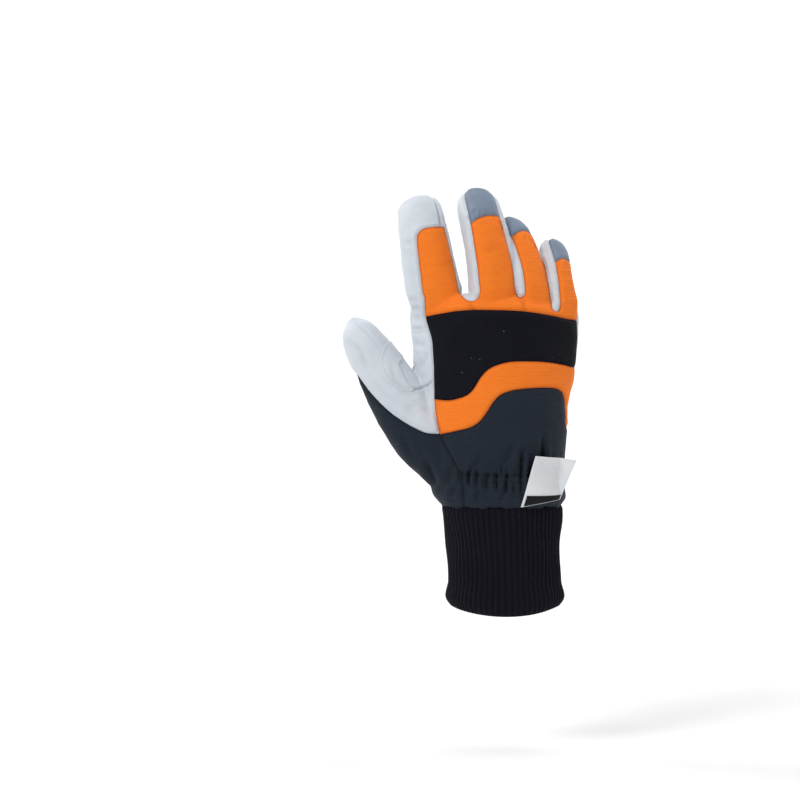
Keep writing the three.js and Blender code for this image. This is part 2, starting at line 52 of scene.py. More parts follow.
# Sizes of the hand, the digits and the cuff
HAND_LENGTH = 133
PALM_WIDTH = 110
PALM_DEPTH = 54
WALL = 1.9
ULNAR_SEAM_Y = 10
THUMB_PLANE_Y = 4
SEAM_GAP = 0.14
CUFF_LENGTH = 72
CUFF_WIDTH = 75
CUFF_DEPTH = 50
CUFF_WALL = 2.6
RIB_COUNT = 66
HEM_RISE = 5
SEAM_DROP = 6
HAND_SQUARENESS = 2.35
DIGIT_SQUARENESS = 2.2
FINE = 0.8  # edge of the mesh's facets on the shell
TINY = 1e-9
SLIVER = 0.02

HAND_COLUMNS = ("up", "left", "right", "depth", "middle", "arch", "drop")
HAND_SECTIONS = np.array([
    (0.0, -0.385, 0.34, 0.96, 0.0, 0.0, 0.0),
    (0.02, -0.405, 0.358, 1.03, 0.0, 0.0, 0.0),
    (0.06, -0.43, 0.357, 1.05, 0.0, 0.02, 0.0),
    (0.105, -0.435, 0.349, 1.02, 0.0, 0.03, 0.0),
    (0.15, -0.44, 0.347, 0.99, 0.0, 0.04, 0.0),
    (0.2, -0.45, 0.35, 1.01, 0.005, 0.05, 0.0),
    (0.28, -0.47, 0.362, 1.02, 0.01, 0.06, 0.0),
    (0.38, -0.48, 0.375, 0.99, 0.015, 0.08, 0.0),
    (0.5, -0.505, 0.38, 0.93, 0.02, 0.11, 0.0),
    (0.62, -0.53, 0.41, 0.85, 0.025, 0.14, 0.0),
    (0.74, -0.545, 0.43, 0.76, 0.03, 0.17, 0.0),
    (0.85, -0.555, 0.436, 0.68, 0.035, 0.19, 0.01),
    (0.93, -0.562, 0.436, 0.61, 0.04, 0.2, 0.03),
    (0.99, -0.555, 0.432, 0.48, 0.045, 0.2, 0.08),
    (1.025, -0.54, 0.42, 0.24, 0.05, 0.2, 0.1),
])
ELASTIC_UP = 0.15
ELASTIC_FROM = -0.28
ELASTIC_TO = 0.33
GATHER_REACH = 0.07
WAIST_PINCH = 2.2
WAIST_STEEPNESS = 1.5
SEAM_DROP_FADES_AT = 0.15
ELASTIC_Z = 91.8

FULLNESS_COLUMNS = ("along", "wide", "deep")
FINGER_FULLNESS = np.array([
    (0.0, 0.9, 0.8), (0.16, 1.06, 1.0), (0.34, 1.04, 1.0), (0.52, 0.99, 0.98), (0.7, 0.95, 0.94),
    (0.83, 0.9, 0.88), (0.915, 0.8, 0.77), (0.968, 0.58, 0.56), (1.0, 0.2, 0.2),
])
THUMB_FULLNESS = np.array([
    (0.0, 1.1, 1.2), (0.22, 1.3, 1.32), (0.4, 1.27, 1.24), (0.52, 1.16, 1.1), (0.66, 1.01, 1.0),
    (0.78, 0.9, 0.92), (0.87, 0.79, 0.82), (0.94, 0.6, 0.62), (1.0, 0.16, 0.18),
])
DIGITS = {
    "index": dict(across=-0.39, up=0.925, length=79, width=34, depth=26, lean=(-13, -7), curl=(1, 22),
                  roll=0, fullness=FINGER_FULLNESS),
    "middle": dict(across=-0.05, up=0.925, length=85, width=31, depth=26, lean=(-4, -18), curl=(1, 36),
                   roll=19, fullness=FINGER_FULLNESS),
    "ring": dict(across=0.17, up=0.915, length=70, width=25.6, depth=24.4, lean=(-4, -30), curl=(11, 44),
                 roll=34, fullness=FINGER_FULLNESS),
    "little": dict(across=0.345, up=0.885, length=57, width=20, depth=21, lean=(-5, -12), curl=(11, 44),
                   roll=38, fullness=FINGER_FULLNESS),
    "thumb": dict(across=-0.273, up=0.15, length=123, width=33, depth=27, lean=(-44, -26), curl=(2, 12),
                  roll=-8, fullness=THUMB_FULLNESS),
}

# Seams of the pattern: share of the palm's width across, share of the hand's length up
BAND_TOP = [(-0.473, 0.912), (-0.382, 0.93), (-0.261, 0.945), (-0.118, 0.949), (0.085, 0.943),
            (0.238, 0.926), (0.36, 0.905), (0.56, 0.866)]
BAND_BOTTOM = [(-0.424, 0.514), (-0.342, 0.511), (-0.251, 0.53), (-0.2, 0.559), (-0.149, 0.623),
               (-0.098, 0.665), (-0.016, 0.692), (0.085, 0.7), (0.238, 0.695), (0.34, 0.68),
               (0.421, 0.661), (0.56, 0.63)]
WAVE_BOTTOM = [(-0.389, 0.345), (-0.3, 0.362), (-0.209, 0.383), (-0.149, 0.417), (-0.108, 0.463),
               (-0.067, 0.514), (-0.016, 0.547), (0.065, 0.565), (0.186, 0.571), (0.289, 0.567),
               (0.34, 0.545), (0.358, 0.5), (0.366, 0.43), (0.385, 0.36), (0.56, 0.3)]
LEATHER_EDGE = [(-0.389, 0.345), (-0.41, 0.43), (-0.424, 0.514), (-0.424, 0.593), (-0.434, 0.787),
                (-0.473, 0.912), (-0.479, 1.04)]
THUMB_SEAM = [(-1.15, 0.72), (-0.93, 0.66), (-0.794, 0.535), (-0.688, 0.452), (-0.583, 0.395),
              (-0.477, 0.352), (-0.389, 0.345)]
GUSSET_SEAM = [(-0.389, 0.345), (-0.342, 0.265), (-0.281, 0.181), (-0.255, 0.098), (-0.24, -0.1)]
PALM_GUSSET_SEAM = [(-1.15, 0.72), (-0.93, 0.66), (-0.79, 0.504), (-0.636, 0.376), (-0.455, 0.256),
                    (-0.273, 0.15), (-0.109, 0.06), (0.0, -0.1)]
CROTCH_SEAM = [(-0.434, 0.597), (-0.46, 0.578), (-0.5, 0.563), (-0.55, 0.558), (-0.6, 0.575), (-0.63, 0.63),
               (-0.65, 0.7), (-0.67, 0.8), (-0.72, 0.93)]
KNUCKLE_TOP = [(-0.479, 1.06), (0.27, 1.06), (0.33, 1.0), (0.56, 1.0)]
PATCH_OUTLINE = [(-0.6, 0.806), (-0.4, 0.822), (-0.2, 0.83), (0.1, 0.83), (0.3, 0.815), (0.56, 0.79),
                 (0.56, 0.1), (0.38, 0.1), (0.345, 0.16), (0.264, 0.25), (0.136, 0.335),
                 (-0.012, 0.405), (-0.16, 0.457), (-0.275, 0.478), (-0.3, 0.57), (-0.335, 0.655),
                 (-0.6, 0.665)]
PATCH_INSET = 7
STRAP_PALM = [(-0.295, 0.49), (-0.315, 0.575), (-0.345, 0.65), (-0.43, 0.664), (-0.52, 0.655),
              (-0.6, 0.735), (-0.66, 0.79), (-0.72, 0.765), (-0.745, 0.69), (-0.72, 0.61),
              (-0.66, 0.54), (-0.55, 0.49), (-0.42, 0.472)]
STRAP_BACK = [(-0.66, 0.8), (-0.71, 0.775), (-0.732, 0.735), (-0.737, 0.69), (-0.722, 0.64),
              (-0.69, 0.6), (-0.64, 0.567), (-0.59, 0.55), (-0.54, 0.552), (-0.55, 0.575),
              (-0.575, 0.592), (-0.592, 0.62), (-0.605, 0.65), (-0.625, 0.68), (-0.6, 0.72)]
CROTCHES = {"index_middle": (-0.19, 1.0), "middle_ring": (0.085, 1.0), "ring_little": (0.304, 0.941)}
TIP_STARTS = {"middle": 0.7, "ring": 0.73, "little": 0.64}
TIP_OVERLAP = 0.03
TIP_ARCH = 4
PAST_TIP = 1.3
BACK_HALF = 0.82
FRONT_HALF = 0.75
SIDE_HALF = 0.74
PAST_SIDE = 1.6
BACK_START = 0.1
FRONT_START = 0.06
INDEX_BACK_END = 0.69
VALLEY = [(-0.05, -0.03), (0.05, -0.03), (0.075, 0.03), (0.06, 0.11), (-0.06, 0.11), (-0.075, 0.03)]
VALLEY_FLOOR = 4
LAYERS = {"palm_patch", "crotch_strap"}
LAYER_LIFT = 1.0
LAYER_THICKNESS = 0.9

# Rolled edges: the crown's height, its place and width, then how deep and how far the seam draws in
LEATHER_ROLL = (0.35, 1.6, 1.1, 1.0, 0.75)
LAYER_ROLL = (0.15, 1.3, 0.9, 0.5, 0.6)
CLOTH_ROLL = (0.0, 1.6, 1.1, 0.9, 1.3)
ROLLED_LEATHER = {"fourchette_index_middle", "fourchette_middle_ring", "fourchette_ring_little",
                  "thumb_back", "palm_leather", "middle_front", "ring_front"}

# The hem inside the cuff: its lift, and the height, run across and in depth, and start of its waves
HEM_LIFT = 1.5
HEM_WAVES = [(0.45, 0.36, 0.0, 1.0), (0.3, 0.83, 0.2, 0.0)]

# What shows between two fingers from the back: the leather sides, in millimetres across and up
WEBS = {
    "index_middle": [(-46, 275), (-40.3, 262), (-38.4, 250.5), (-35, 238.2), (-31.7, 224.8), (-29.8, 213),
                     (-27.2, 206.6), (-22, 204.2), (-18, 206.4), (-17.2, 212.8), (-20, 220),
                     (-23.3, 232.8), (-25, 242), (-25.1, 250), (-25.2, 257), (-27.2, 262.5),
                     (-30.4, 268.5), (-33, 275)],
    "middle_ring": [(-7.5, 279), (-6.3, 272.9), (-1.8, 255), (2.7, 238.2), (5.5, 225.9), (7, 211.4),
                    (8.4, 207.2), (10.4, 206.3), (12.3, 208), (12.4, 212), (11.3, 222), (8.6, 233),
                    (5.2, 243), (0.5, 253), (-2, 262), (-2, 279)],
    "ring_little": [(18, 250), (25.4, 231.5), (28.8, 215.9), (30.8, 201.3), (31.6, 198.6), (33.6, 197.2),
                    (35.6, 199), (35.1, 212.5), (33.4, 224.8), (30.6, 236), (28.5, 243.5), (27.5, 252)],
}
TIP_SEAMS = [
    [(-24.2, 256.1), (-18.6, 257.3), (-10.8, 256.1), (-4, 252.2), (-0.1, 247.7)],
    [(5.5, 242.5), (10.5, 242.5), (17.2, 239.3), (22.2, 235.4)],
    [(34, 224.6), (39.6, 224.3), (45.2, 220.9)],
]

# Folds and dents pressed into the shell: side, depth, width and the line they follow, in millimetres.
# A low ridge lies on both sides of each.
BACK, PALM = -1, 1
RIDGE_SHARE = 0.6
RIDGE_PLACE = 2.1
GROOVE_DEPTH = 0.4
GROOVE_WIDTH = 1.0
FOLDS = [
    (BACK, 2.2, 1.5, [(0, 80), (0.5, 95)]),
    (BACK, 1.9, 1.4, [(5.2, 79), (5, 90), (6, 98)]),
    (BACK, 2.4, 1.6, [(9.5, 79), (9, 94), (10.5, 108)]),
    (BACK, 1.8, 1.4, [(-6, 82), (-6, 94)]),
    (BACK, 1.5, 1.5, [(-13, 82), (-12.5, 93)]),
    (BACK, 1.3, 1.4, [(-19, 84), (-18.5, 94)]),
    (BACK, 1.2, 1.4, [(-24.5, 85), (-24, 95)]),
    (BACK, 1.9, 1.5, [(15, 80), (15.5, 93), (16.5, 100)]),
    (BACK, 2.1, 1.6, [(21, 82), (23.5, 96), (24, 117)]),
    (BACK, 1.7, 1.5, [(28, 82), (29.5, 101)]),
    (BACK, 1.5, 1.6, [(34, 84), (33, 99)]),
    (BACK, 0.8, 1.2, [(-26, 92.4), (-8, 91.6), (14, 91.6), (34, 93)]),
    (BACK, 0.8, 1.6, [(-20, 76), (-17, 83)]),
    (BACK, 0.9, 1.6, [(-4, 75), (-2, 82)]),
    (BACK, 0.8, 1.6, [(12, 74.5), (12.5, 81)]),
    (BACK, 0.8, 1.8, [(-36, 77), (-32, 86)]),
    (BACK, 0.45, 1.6, [(-66, 242), (-60, 240)]),
    (BACK, 0.5, 1.6, [(-63, 205), (-57, 203)]),
    (BACK, 0.5, 1.6, [(-61, 199), (-55, 197.5)]),
    (BACK, 0.45, 1.6, [(-60, 176), (-52, 174)]),
    (BACK, 0.5, 1.8, [(-58, 158), (-52, 165), (-49, 172)]),
    (BACK, 0.45, 1.8, [(-57, 153), (-50, 157)]),
    (BACK, 0.2, 2.2, [(-43, 226), (-34, 228)]),
    (BACK, 0.2, 2.4, [(-16, 236), (-4, 238)]),
    (BACK, 0.5, 2.2, [(-24, 203), (-20, 196)]),
    (BACK, 0.5, 2.0, [(11, 204), (13, 196.5)]),
    (BACK, 0.6, 2.2, [(-68, 118), (-60, 104), (-54, 96)]),
    (BACK, 0.6, 2.4, [(-58, 112), (-50, 96), (-47, 84)]),
    (BACK, 0.7, 2.2, [(-33, 104), (-36, 92), (-35, 82)]),
    (BACK, 0.6, 2.0, [(-99, 176), (-93, 170), (-90, 160)]),
    (BACK, 0.5, 2.0, [(-86, 152), (-78, 143), (-70, 138)]),
    (BACK, 0.5, 1.8, [(-47, 132), (-56, 137), (-62, 136)]),
    (BACK, 0.7, 2.2, [(-22, 90), (-17, 106)]),
    (BACK, 0.7, 2.4, [(-2, 98), (4, 112)]),
    (BACK, 0.9, 2.2, [(-44, 84), (-51, 99)]),
    (BACK, 0.7, 2.2, [(-40, 80), (-38, 95)]),
    (BACK, 0.6, 2.0, [(-56, 158), (-57.5, 172), (-58, 183)]),
    (BACK, 0.5, 1.8, [(-52.5, 155), (-52.5, 170), (-54, 182)]),
    (BACK, 0.5, 1.6, [(-60.6, 184.5), (-51.5, 184.5)]),
    (BACK, 0.45, 1.6, [(-75, 164), (-71, 152), (-64, 147)]),
    (BACK, 0.4, 0.9, [(-98, 190), (-91.4, 184.6), (-80, 172)]),
    (BACK, 0.5, 2.0, [(-70, 140), (-60, 133), (-50, 131)]),
    (BACK, 0.4, 2.2, [(-52, 146), (-50, 130)]),
    (PALM, 0.9, 1.8, [(-62, 216), (-48, 214), (-36, 217)]),
    (PALM, 0.7, 1.8, [(-64, 240), (-52, 238), (-41, 241)]),
    (PALM, 0.8, 1.8, [(-24, 222), (-8, 219)]),
    (PALM, 0.6, 1.8, [(-28, 246), (-8, 243)]),
    (PALM, 0.8, 1.8, [(4, 214), (22, 212)]),
    (PALM, 0.6, 1.8, [(30, 208), (46, 206)]),
    (PALM, 1.1, 1.6, [(-31, 137), (-18, 141)]),
    (PALM, 1.0, 1.6, [(-31, 136), (-15, 136.5)]),
    (PALM, 1.0, 1.6, [(-32, 134), (-17, 131)]),
    (PALM, 1.1, 1.8, [(-33, 133), (-26, 121)]),
    (PALM, 0.9, 1.8, [(-38, 132), (-36, 118)]),
    (PALM, 0.8, 2.4, [(-14, 76), (-10, 98), (0, 116)]),
    (PALM, 0.8, 2.4, [(-3, 74), (2, 92), (12, 106)]),
    (PALM, 0.7, 2.2, [(9, 74), (13, 88)]),
    (PALM, 0.8, 2.2, [(20, 75), (22, 90), (27, 98)]),
    (PALM, 0.7, 2.2, [(30, 76), (31, 90)]),
    (PALM, 0.7, 2.4, [(-26, 78), (-22, 94)]),
]
PALM_ROWS = [
    [(-56, 177.6), (-40, 179.4), (-20, 180.4), (10, 180.3), (36, 177.6)],
    [(-56, 174.2), (-40, 176), (-20, 177), (10, 176.9), (36, 174.3)],
    [(-33.8, 170.6), (-10, 168.5), (12, 165), (36, 159.5)],
    [(-32.5, 157), (5.7, 151.2), (25, 144.5), (36, 139.5)],
    [(-31.4, 146.6), (-1.3, 139.6), (20, 128), (36, 118)],
]


def lerp(a, b, t):
    return a + (b - a) * t


def follow(table, columns, name, at):
    """A smooth curve through one column of a table, read at shares of its first column."""
    knots = table[:, 0]
    values = table[:, columns.index(name)]
    slopes = np.gradient(values, knots)
    at = np.clip(np.asarray(at, float), knots[0], knots[-1])
    i = np.clip(np.searchsorted(knots, at) - 1, 0, len(knots) - 2)
    span = knots[i + 1] - knots[i]
    t = (at - knots[i]) / span
    start = (2 * t**3 - 3 * t**2 + 1) * values[i] + (t**3 - 2 * t**2 + t) * span * slopes[i]
    end = (3 * t**2 - 2 * t**3) * values[i + 1] + (t**3 - t**2) * span * slopes[i + 1]
    return start + end


def hand_value(name, up):
    return follow(HAND_SECTIONS, HAND_COLUMNS, name, up)


def hand_span(up, scale=1):
    """Middle and half width of the hand at a height."""
    left, right = hand_value("left", up) * scale, hand_value("right", up) * scale
    return (left + right) / 2, (right - left) / 2


def mid_depth(across, up):
    """Where the middle of the hand's thickness lies, front to back, at a place given in shares."""
    middle, half = hand_span(up)
    side = (across - middle) / half
    return (hand_value("middle", up) + hand_value("arch", up) * side**2) * PALM_DEPTH


def oval(count, squareness):
    """Cosine and sine of a rounded rectangle, counterclockwise."""
    angle = np.linspace(0, 2 * math.pi, count, endpoint=False)
    return [np.sign(value) * np.abs(value) ** (2 / squareness) for value in (np.cos(angle), np.sin(angle))]


def seam_drop(c, s):
    return SEAM_DROP * np.maximum(0, s) * (0.5 - 0.5 * c)


def hand_ring(up, columns=120):
    middle, half = hand_span(up, PALM_WIDTH)
    c, s = oval(columns, HAND_SQUARENESS)
    x = middle + half * c
    inside = (x / PALM_WIDTH > ELASTIC_FROM) & (x / PALM_WIDTH < ELASTIC_TO)
    pinch = WAIST_PINCH * math.exp(-(((up - ELASTIC_UP) / GATHER_REACH) ** 2))
    dent = np.where(inside & (s < 0), pinch * np.minimum(1, -s * WAIST_STEEPNESS), 0)
    y = hand_value("middle", up) * PALM_DEPTH + hand_value("depth", up) * PALM_DEPTH / 2 * s
    y = y + hand_value("arch", up) * PALM_DEPTH * c * c + dent
    sunk = hand_value("drop", up) * PALM_WIDTH * np.maximum(0, c) ** 2
    sunk = sunk + seam_drop(c, s) * max(0, 1 - up / SEAM_DROP_FADES_AT)
    return np.column_stack([x, y, CUFF_LENGTH + up * HAND_LENGTH - sunk])


def digit_path(digit, stations=72, reach=1.08):
    """The digit's axis and its along, across and back directions at even shares of its length."""
    shares = np.linspace(0, reach, stations)
    lean = np.radians(lerp(digit["lean"][0], digit["lean"][1], shares))
    curl = np.radians(lerp(digit["curl"][0], digit["curl"][1], shares**2))
    along = np.column_stack([np.sin(lean) * np.cos(curl), np.sin(curl), np.cos(lean) * np.cos(curl)])
    root_y = mid_depth(digit["across"], digit["up"])
    root = np.array([digit["across"] * PALM_WIDTH, root_y, CUFF_LENGTH + digit["up"] * HAND_LENGTH])
    steps = (along[1:] + along[:-1]) / 2 * digit["length"] * np.diff(shares)[:, None]
    at = root + np.vstack([np.zeros(3), np.cumsum(steps, axis=0)])
    flat = np.array([1.0, 0, 0]) - along * along[:, :1]
    flat /= np.linalg.norm(flat, axis=1)[:, None]
    flat_back = np.cross(flat, along)
    roll = math.radians(digit["roll"])
    across = flat * math.cos(roll) - flat_back * math.sin(roll)
    back = flat_back * math.cos(roll) + flat * math.sin(roll)
    return shares, at, along, across, back


def half_sizes(digit, share):
    """Half the width and half the depth of a digit at shares of its length."""
    wide = follow(digit["fullness"], FULLNESS_COLUMNS, "wide", share) * digit["width"] / 2
    deep = follow(digit["fullness"], FULLNESS_COLUMNS, "deep", share) * digit["depth"] / 2
    return wide, deep


def digit_rings(digit, columns=60):
    shares, at, _, across, back = digit_path(digit)
    c, s = oval(columns, DIGIT_SQUARENESS)
    rings = []
    for share in [share for share in shares if share < 0.99] + [0.992, 1.0]:
        wide, deep = half_sizes(digit, share)
        place, side, dorsal = (np.array([np.interp(share, shares, track[:, k]) for k in range(3)])
                               for track in (at, across, back))
        rings.append(place + np.outer(wide * c, side) - np.outer(deep * s, dorsal))
    return rings


def new_object(name, points, faces):
    """An object at the origin, from points in millimetres."""
    mesh = bpy.data.meshes.new(name)
    mesh.from_pydata((np.asarray(points) * MM).tolist(), [], faces)
    mesh.update()
    made = bpy.data.objects.new(name, mesh)
    bpy.context.collection.objects.link(made)
    return made


def between_rings(count, rows, joined=False):
    """Quads between rings of points; when joined, the last ring meets the first."""
    faces = []
    for i in range(rows if joined else rows - 1):
        low, high = i * count, (i + 1) % rows * count
        for j in range(count):
            k = (j + 1) % count
            faces.append((low + j, low + k, high + k, high + j))
    return faces


def loft(name, rings):
    """A tube through rings of points, with its two ends closed."""
    count = len(rings[0])
    faces = between_rings(count, len(rings))
    points = np.vstack([*rings, rings[0].mean(axis=0), rings[-1].mean(axis=0)])
    low, high, last = len(points) - 2, len(points) - 1, (len(rings) - 1) * count
    for j in range(count):
        k = (j + 1) % count
        faces.append((low, k, j))
        faces.append((high, last + j, last + k))
    return new_object(name, points, faces)


def choose(*objects):
    bpy.ops.object.select_all(action="DESELECT")
    for one in objects:
        one.select_set(True)
    bpy.context.view_layer.objects.active = objects[0]


def modify(target, kind, **settings):
    """Adds a modifier, sets it and applies it."""
    choose(target)
    modifier = target.modifiers.new(kind.title(), kind)
    for key, value in settings.items():
        setattr(modifier, key, value)
    bpy.ops.object.modifier_apply(modifier=modifier.name)


def clouds(name, size):
    texture = bpy.data.textures.new(name, "CLOUDS")
    texture.noise_scale = size
    texture.noise_depth = 1
    return texture


def arrays(target):
    """Points in millimetres and triangles of an object's mesh."""
    mesh = target.data
    points = np.empty(len(mesh.vertices) * 3)
    mesh.vertices.foreach_get("co", points)
    points = points.reshape(-1, 3) / MM
    mesh.calc_loop_triangles()
    faces = np.empty(len(mesh.loop_triangles) * 3, int)
    mesh.loop_triangles.foreach_get("vertices", faces)
    return points, faces.reshape(-1, 3)


def vertex_normals(points, faces):
    corner = points[faces]
    face = np.cross(corner[:, 1] - corner[:, 0], corner[:, 2] - corner[:, 0])
    normals = np.zeros_like(points)
    for k in range(3):
        for axis in range(3):
            normals[:, axis] += np.bincount(faces[:, k], face[:, axis], len(points))
    return normals / np.maximum(np.linalg.norm(normals, axis=1), TINY)[:, None]


def line_distance(line, x, z):
    """Distance in the XZ plane from points to an open line, and which share along it is nearest."""
    nearest = np.full(len(x), np.inf)
    along = np.zeros(len(x))
    for n, (a, b) in enumerate(zip(line[:-1], line[1:])):
        ax, az = a
        dx, dz = b[0] - ax, b[1] - az
        t = np.clip(((x - ax) * dx + (z - az) * dz) / max(dx * dx + dz * dz, TINY), 0, 1)
        distance = np.hypot(x - ax - t * dx, z - az - t * dz)
        closer = distance < nearest
        nearest[closer] = distance[closer]
        along[closer] = (n + t[closer]) / (len(line) - 1)
    return nearest, along


def outline_field(outline, x, z):
    """Distance inside a closed outline in the XZ plane, negative outside."""
    nearest, _ = line_distance(outline + outline[:1], x, z)
    inside = np.zeros(len(x), bool)
    for (ax, az), (bx, bz) in zip(outline, outline[1:] + outline[:1]):
        crosses = (az > z) != (bz > z)
        where = ax + (z - az) * (bx - ax) / (bz - az if abs(bz - az) > TINY else TINY)
        inside ^= crosses & (x < where)
    return np.where(inside, nearest, -nearest)


def smooth(seam, per_span=5):
    """A seam drawn smooth through its points."""
    seam = np.array(seam, float)
    padded = np.vstack([2 * seam[0] - seam[1], seam, 2 * seam[-1] - seam[-2]])
    drawn = []
    for i in range(1, len(padded) - 2):
        p0, p1, p2, p3 = padded[i - 1 : i + 3]
        for t in np.linspace(0, 1, per_span, endpoint=False):
            drawn.append(0.5 * (2 * p1 + (p2 - p0) * t + (2 * p0 - 5 * p1 + 4 * p2 - p3) * t**2
                                + (3 * p1 - p0 - 3 * p2 + p3) * t**3))
    return [tuple(p) for p in drawn] + [tuple(seam[-1])]


def smooth_loop(outline):
    """A closed outline drawn smooth through its points."""
    return smooth(outline + outline[:1], 3)[:-1]


def in_mm(seam):
    return [(across * PALM_WIDTH, CUFF_LENGTH + up * HAND_LENGTH) for across, up in seam]


def beside(seam, offset):
    """A seam moved sideways by so many millimetres."""
    line = np.array(in_mm(seam))
    way = np.gradient(line, axis=0)
    way /= np.linalg.norm(way, axis=1)[:, None]
    return [tuple(p) for p in line + np.column_stack([-way[:, 1], way[:, 0]]) * offset]


SEWN_ROWS = {
    "thumb_topstitch": (BACK, 0, [beside(THUMB_SEAM[1:], 2.4)]),
    "saddle_topstitch": (BACK, LAYER_LIFT, [beside(STRAP_BACK[1:9], 1.8)]),
    "index_topstitch": (BACK, 0, [[(-60.6, 186), (-51.5, 186)], [(-60.6, 182.5), (-51.5, 182.5)]]),
    "palm_topstitch": (PALM, LAYER_LIFT, PALM_ROWS),
    "strap_topstitch": (PALM, LAYER_LIFT, [beside(STRAP_PALM[:4], 1.9), beside(STRAP_PALM[:4], 4.6)]),
    "patch_topstitch": (PALM, LAYER_LIFT, [beside(PATCH_OUTLINE[7:14], -2.0)]),
}


def puckers():
    """Short gathers that cross the seams of the fingertips and the elastic of the wrist."""
    chance = np.random.default_rng(7)
    strokes = []
    for seam in TIP_SEAMS:
        seam = np.array(smooth(seam, 4))
        for place in seam[1:-1]:
            lean = chance.uniform(-0.5, 0.5)
            depth = chance.uniform(0.5, 0.9)
            strokes.append((BACK, depth, 0.9, [tuple(place), tuple(place + [lean, 4.5])]))
    for across in np.arange(-27, 35, 2.1):
        across += chance.uniform(-0.6, 0.6)
        reach = chance.uniform(3, 7)
        depth = chance.uniform(0.6, 1.4)
        lean = chance.uniform(-0.8, 0.8)
        line = [(across, ELASTIC_Z - reach), (across + lean, ELASTIC_Z + reach * 0.9)]
        strokes.append((BACK, depth, 0.95, line))
    return strokes


# The glove's skin: hand and digits melted together, softened and creased
limbs = [loft("hand", [hand_ring(up) for up in np.linspace(0, HAND_SECTIONS[-1, 0], 90)])]
inside_cuff = [hand_ring(0) - [0, 0, drop] for drop in (14, 9, 4)]
limbs.append(loft("wrist", inside_cuff + [hand_ring(up) for up in (0, 0.01, 0.05)]))
limbs += [loft(name, digit_rings(digit)) for name, digit in DIGITS.items()]
choose(*limbs)
bpy.ops.object.join()
skin = bpy.context.view_layer.objects.active
modify(skin, "REMESH", mode="VOXEL", voxel_size=FINE * MM)
modify(skin, "SMOOTH", factor=0.6, iterations=12)
for name, size, strength in (("slack", 0.02, 0.0017), ("crumple", 0.008, 0.0006)):
    modify(skin, "DISPLACE", texture=clouds(name, size), strength=strength, texture_coords="LOCAL")

points, faces = arrays(skin)
normals = vertex_normals(points, faces)
crease = np.zeros(len(points))


def facing(side, normal_y):
    """One on the side of the glove that faces the back or the palm, fading to nothing at its edge."""
    return np.clip(side * normal_y * 3, 0, 1)


def hump(distance, width):
    """A bell of height one."""
    return np.exp(-((distance / width) ** 2))


for side, depth, width, line in FOLDS + puckers():
    distance, along = line_distance(line, points[:, 0], points[:, 2])
    taper = np.minimum(1, 3.2 * np.minimum(along, 1 - along) + 0.25)
    dent = depth * hump(distance, width) * taper
    ridge = RIDGE_SHARE * depth * hump(distance - RIDGE_PLACE * width, width) * taper
    crease += (dent - ridge) * facing(side, normals[:, 1])
for side, _, rows in SEWN_ROWS.values():
    for row in rows:
        distance, _ = line_distance(smooth(row, 3), points[:, 0], points[:, 2])
        crease += GROOVE_DEPTH * hump(distance, GROOVE_WIDTH) * facing(side, normals[:, 1])
points = points - normals * crease[:, None]
tree = BVHTree.FromPolygons((points * MM).tolist(), faces.tolist())
x, y, z = points.T


def digit_place(digit):
    """Where each point of the skin lies in a digit's own frame: share, across, back, half sizes."""
    shares, at, along, across, back = digit_path(digit)
    squares = (points**2).sum(axis=1)[:, None] + (at**2).sum(axis=1) - 2 * points @ at.T
    station = squares.argmin(axis=1)
    away = points - at[station]
    share = shares[station] + (away * along[station]).sum(axis=1) / digit["length"]
    wide, deep = half_sizes(digit, share)
    u = (away * across[station]).sum(axis=1)
    w = (away * back[station]).sum(axis=1)
    return share, u, w, np.maximum(wide, 0.2 * digit["width"]), np.maximum(deep, 0.2 * digit["depth"])


places = {name: digit_place(digit) for name, digit in DIGITS.items()}


def soft_min(a, b, reach):
    """The lesser of two fields, rounded where they meet."""
    near = np.maximum(reach - np.abs(a - b), 0) / reach
    return np.minimum(a, b) - near**2 * reach / 4


def digit_field(name, start, end, left, right, low, high, start_arch=0.0, end_arch=0.0,
                left_corner=0.01, right_corner=0.01):
    """Distance inside a box that runs along a digit, its ends arched by so many millimetres."""
    share, u, w, wide, deep = places[name]
    length = DIGITS[name]["length"]
    lefts = lerp(left[0], left[1], share) * wide
    rights = lerp(right[0], right[1], share) * wide
    bend = 1 - np.clip(u / wide, -1, 1) ** 2
    top = (end - share) * length + end_arch * bend
    base = (share - start) * length - start_arch * bend
    ends = np.minimum(top, base)
    lefthand = soft_min(u - lefts, ends, left_corner)
    righthand = soft_min(rights - u, ends, right_corner)
    return np.minimum.reduce([lefthand, righthand, w - low * deep, high * deep - w])


def both(half):
    """The left and right limits of a strip that is as wide all along a digit."""
    return (-half, -half), (half, half)


def back_of(outline):
    """The skin inside an outline, on the back of the hand."""
    return np.minimum(outline_field(in_mm(outline), x, z), ULNAR_SEAM_Y - y)


def union(*fields):
    return np.maximum.reduce(fields)


leather_edge = smooth(LEATHER_EDGE)


def edge_between(low, high):
    return [p for p in leather_edge if low <= p[1] <= high]


hem_drop = SEAM_DROP * np.clip((y - 2) / 24, 0, 1) * np.clip(0.5 - x / 80, 0, 1)
hem_wave = sum(height * np.sin(across * x + deep * y + start) for height, across, deep, start in HEM_WAVES)
above_cuff = z - (CUFF_LENGTH - hem_drop) + HEM_LIFT + hem_wave
remaining = above_cuff
regions = {}


def claim(name, region):
    """The region's own part of what is left of the skin."""
    global remaining
    regions[name] = np.minimum(region, remaining)
    remaining = np.minimum(remaining, -region - SEAM_GAP)


def seen_from_back(left, right):
    """Distance in front of the side seams of whichever of two digits is nearer."""
    _, u, w, wide, deep = places[left]
    _, other_u, other_w, other_wide, other_deep = places[right]
    nearer = np.hypot(u / wide, w / deep) < np.hypot(other_u / other_wide, other_w / other_deep)
    return np.where(nearer, w + 0.3 * deep, other_w + 0.3 * other_deep)


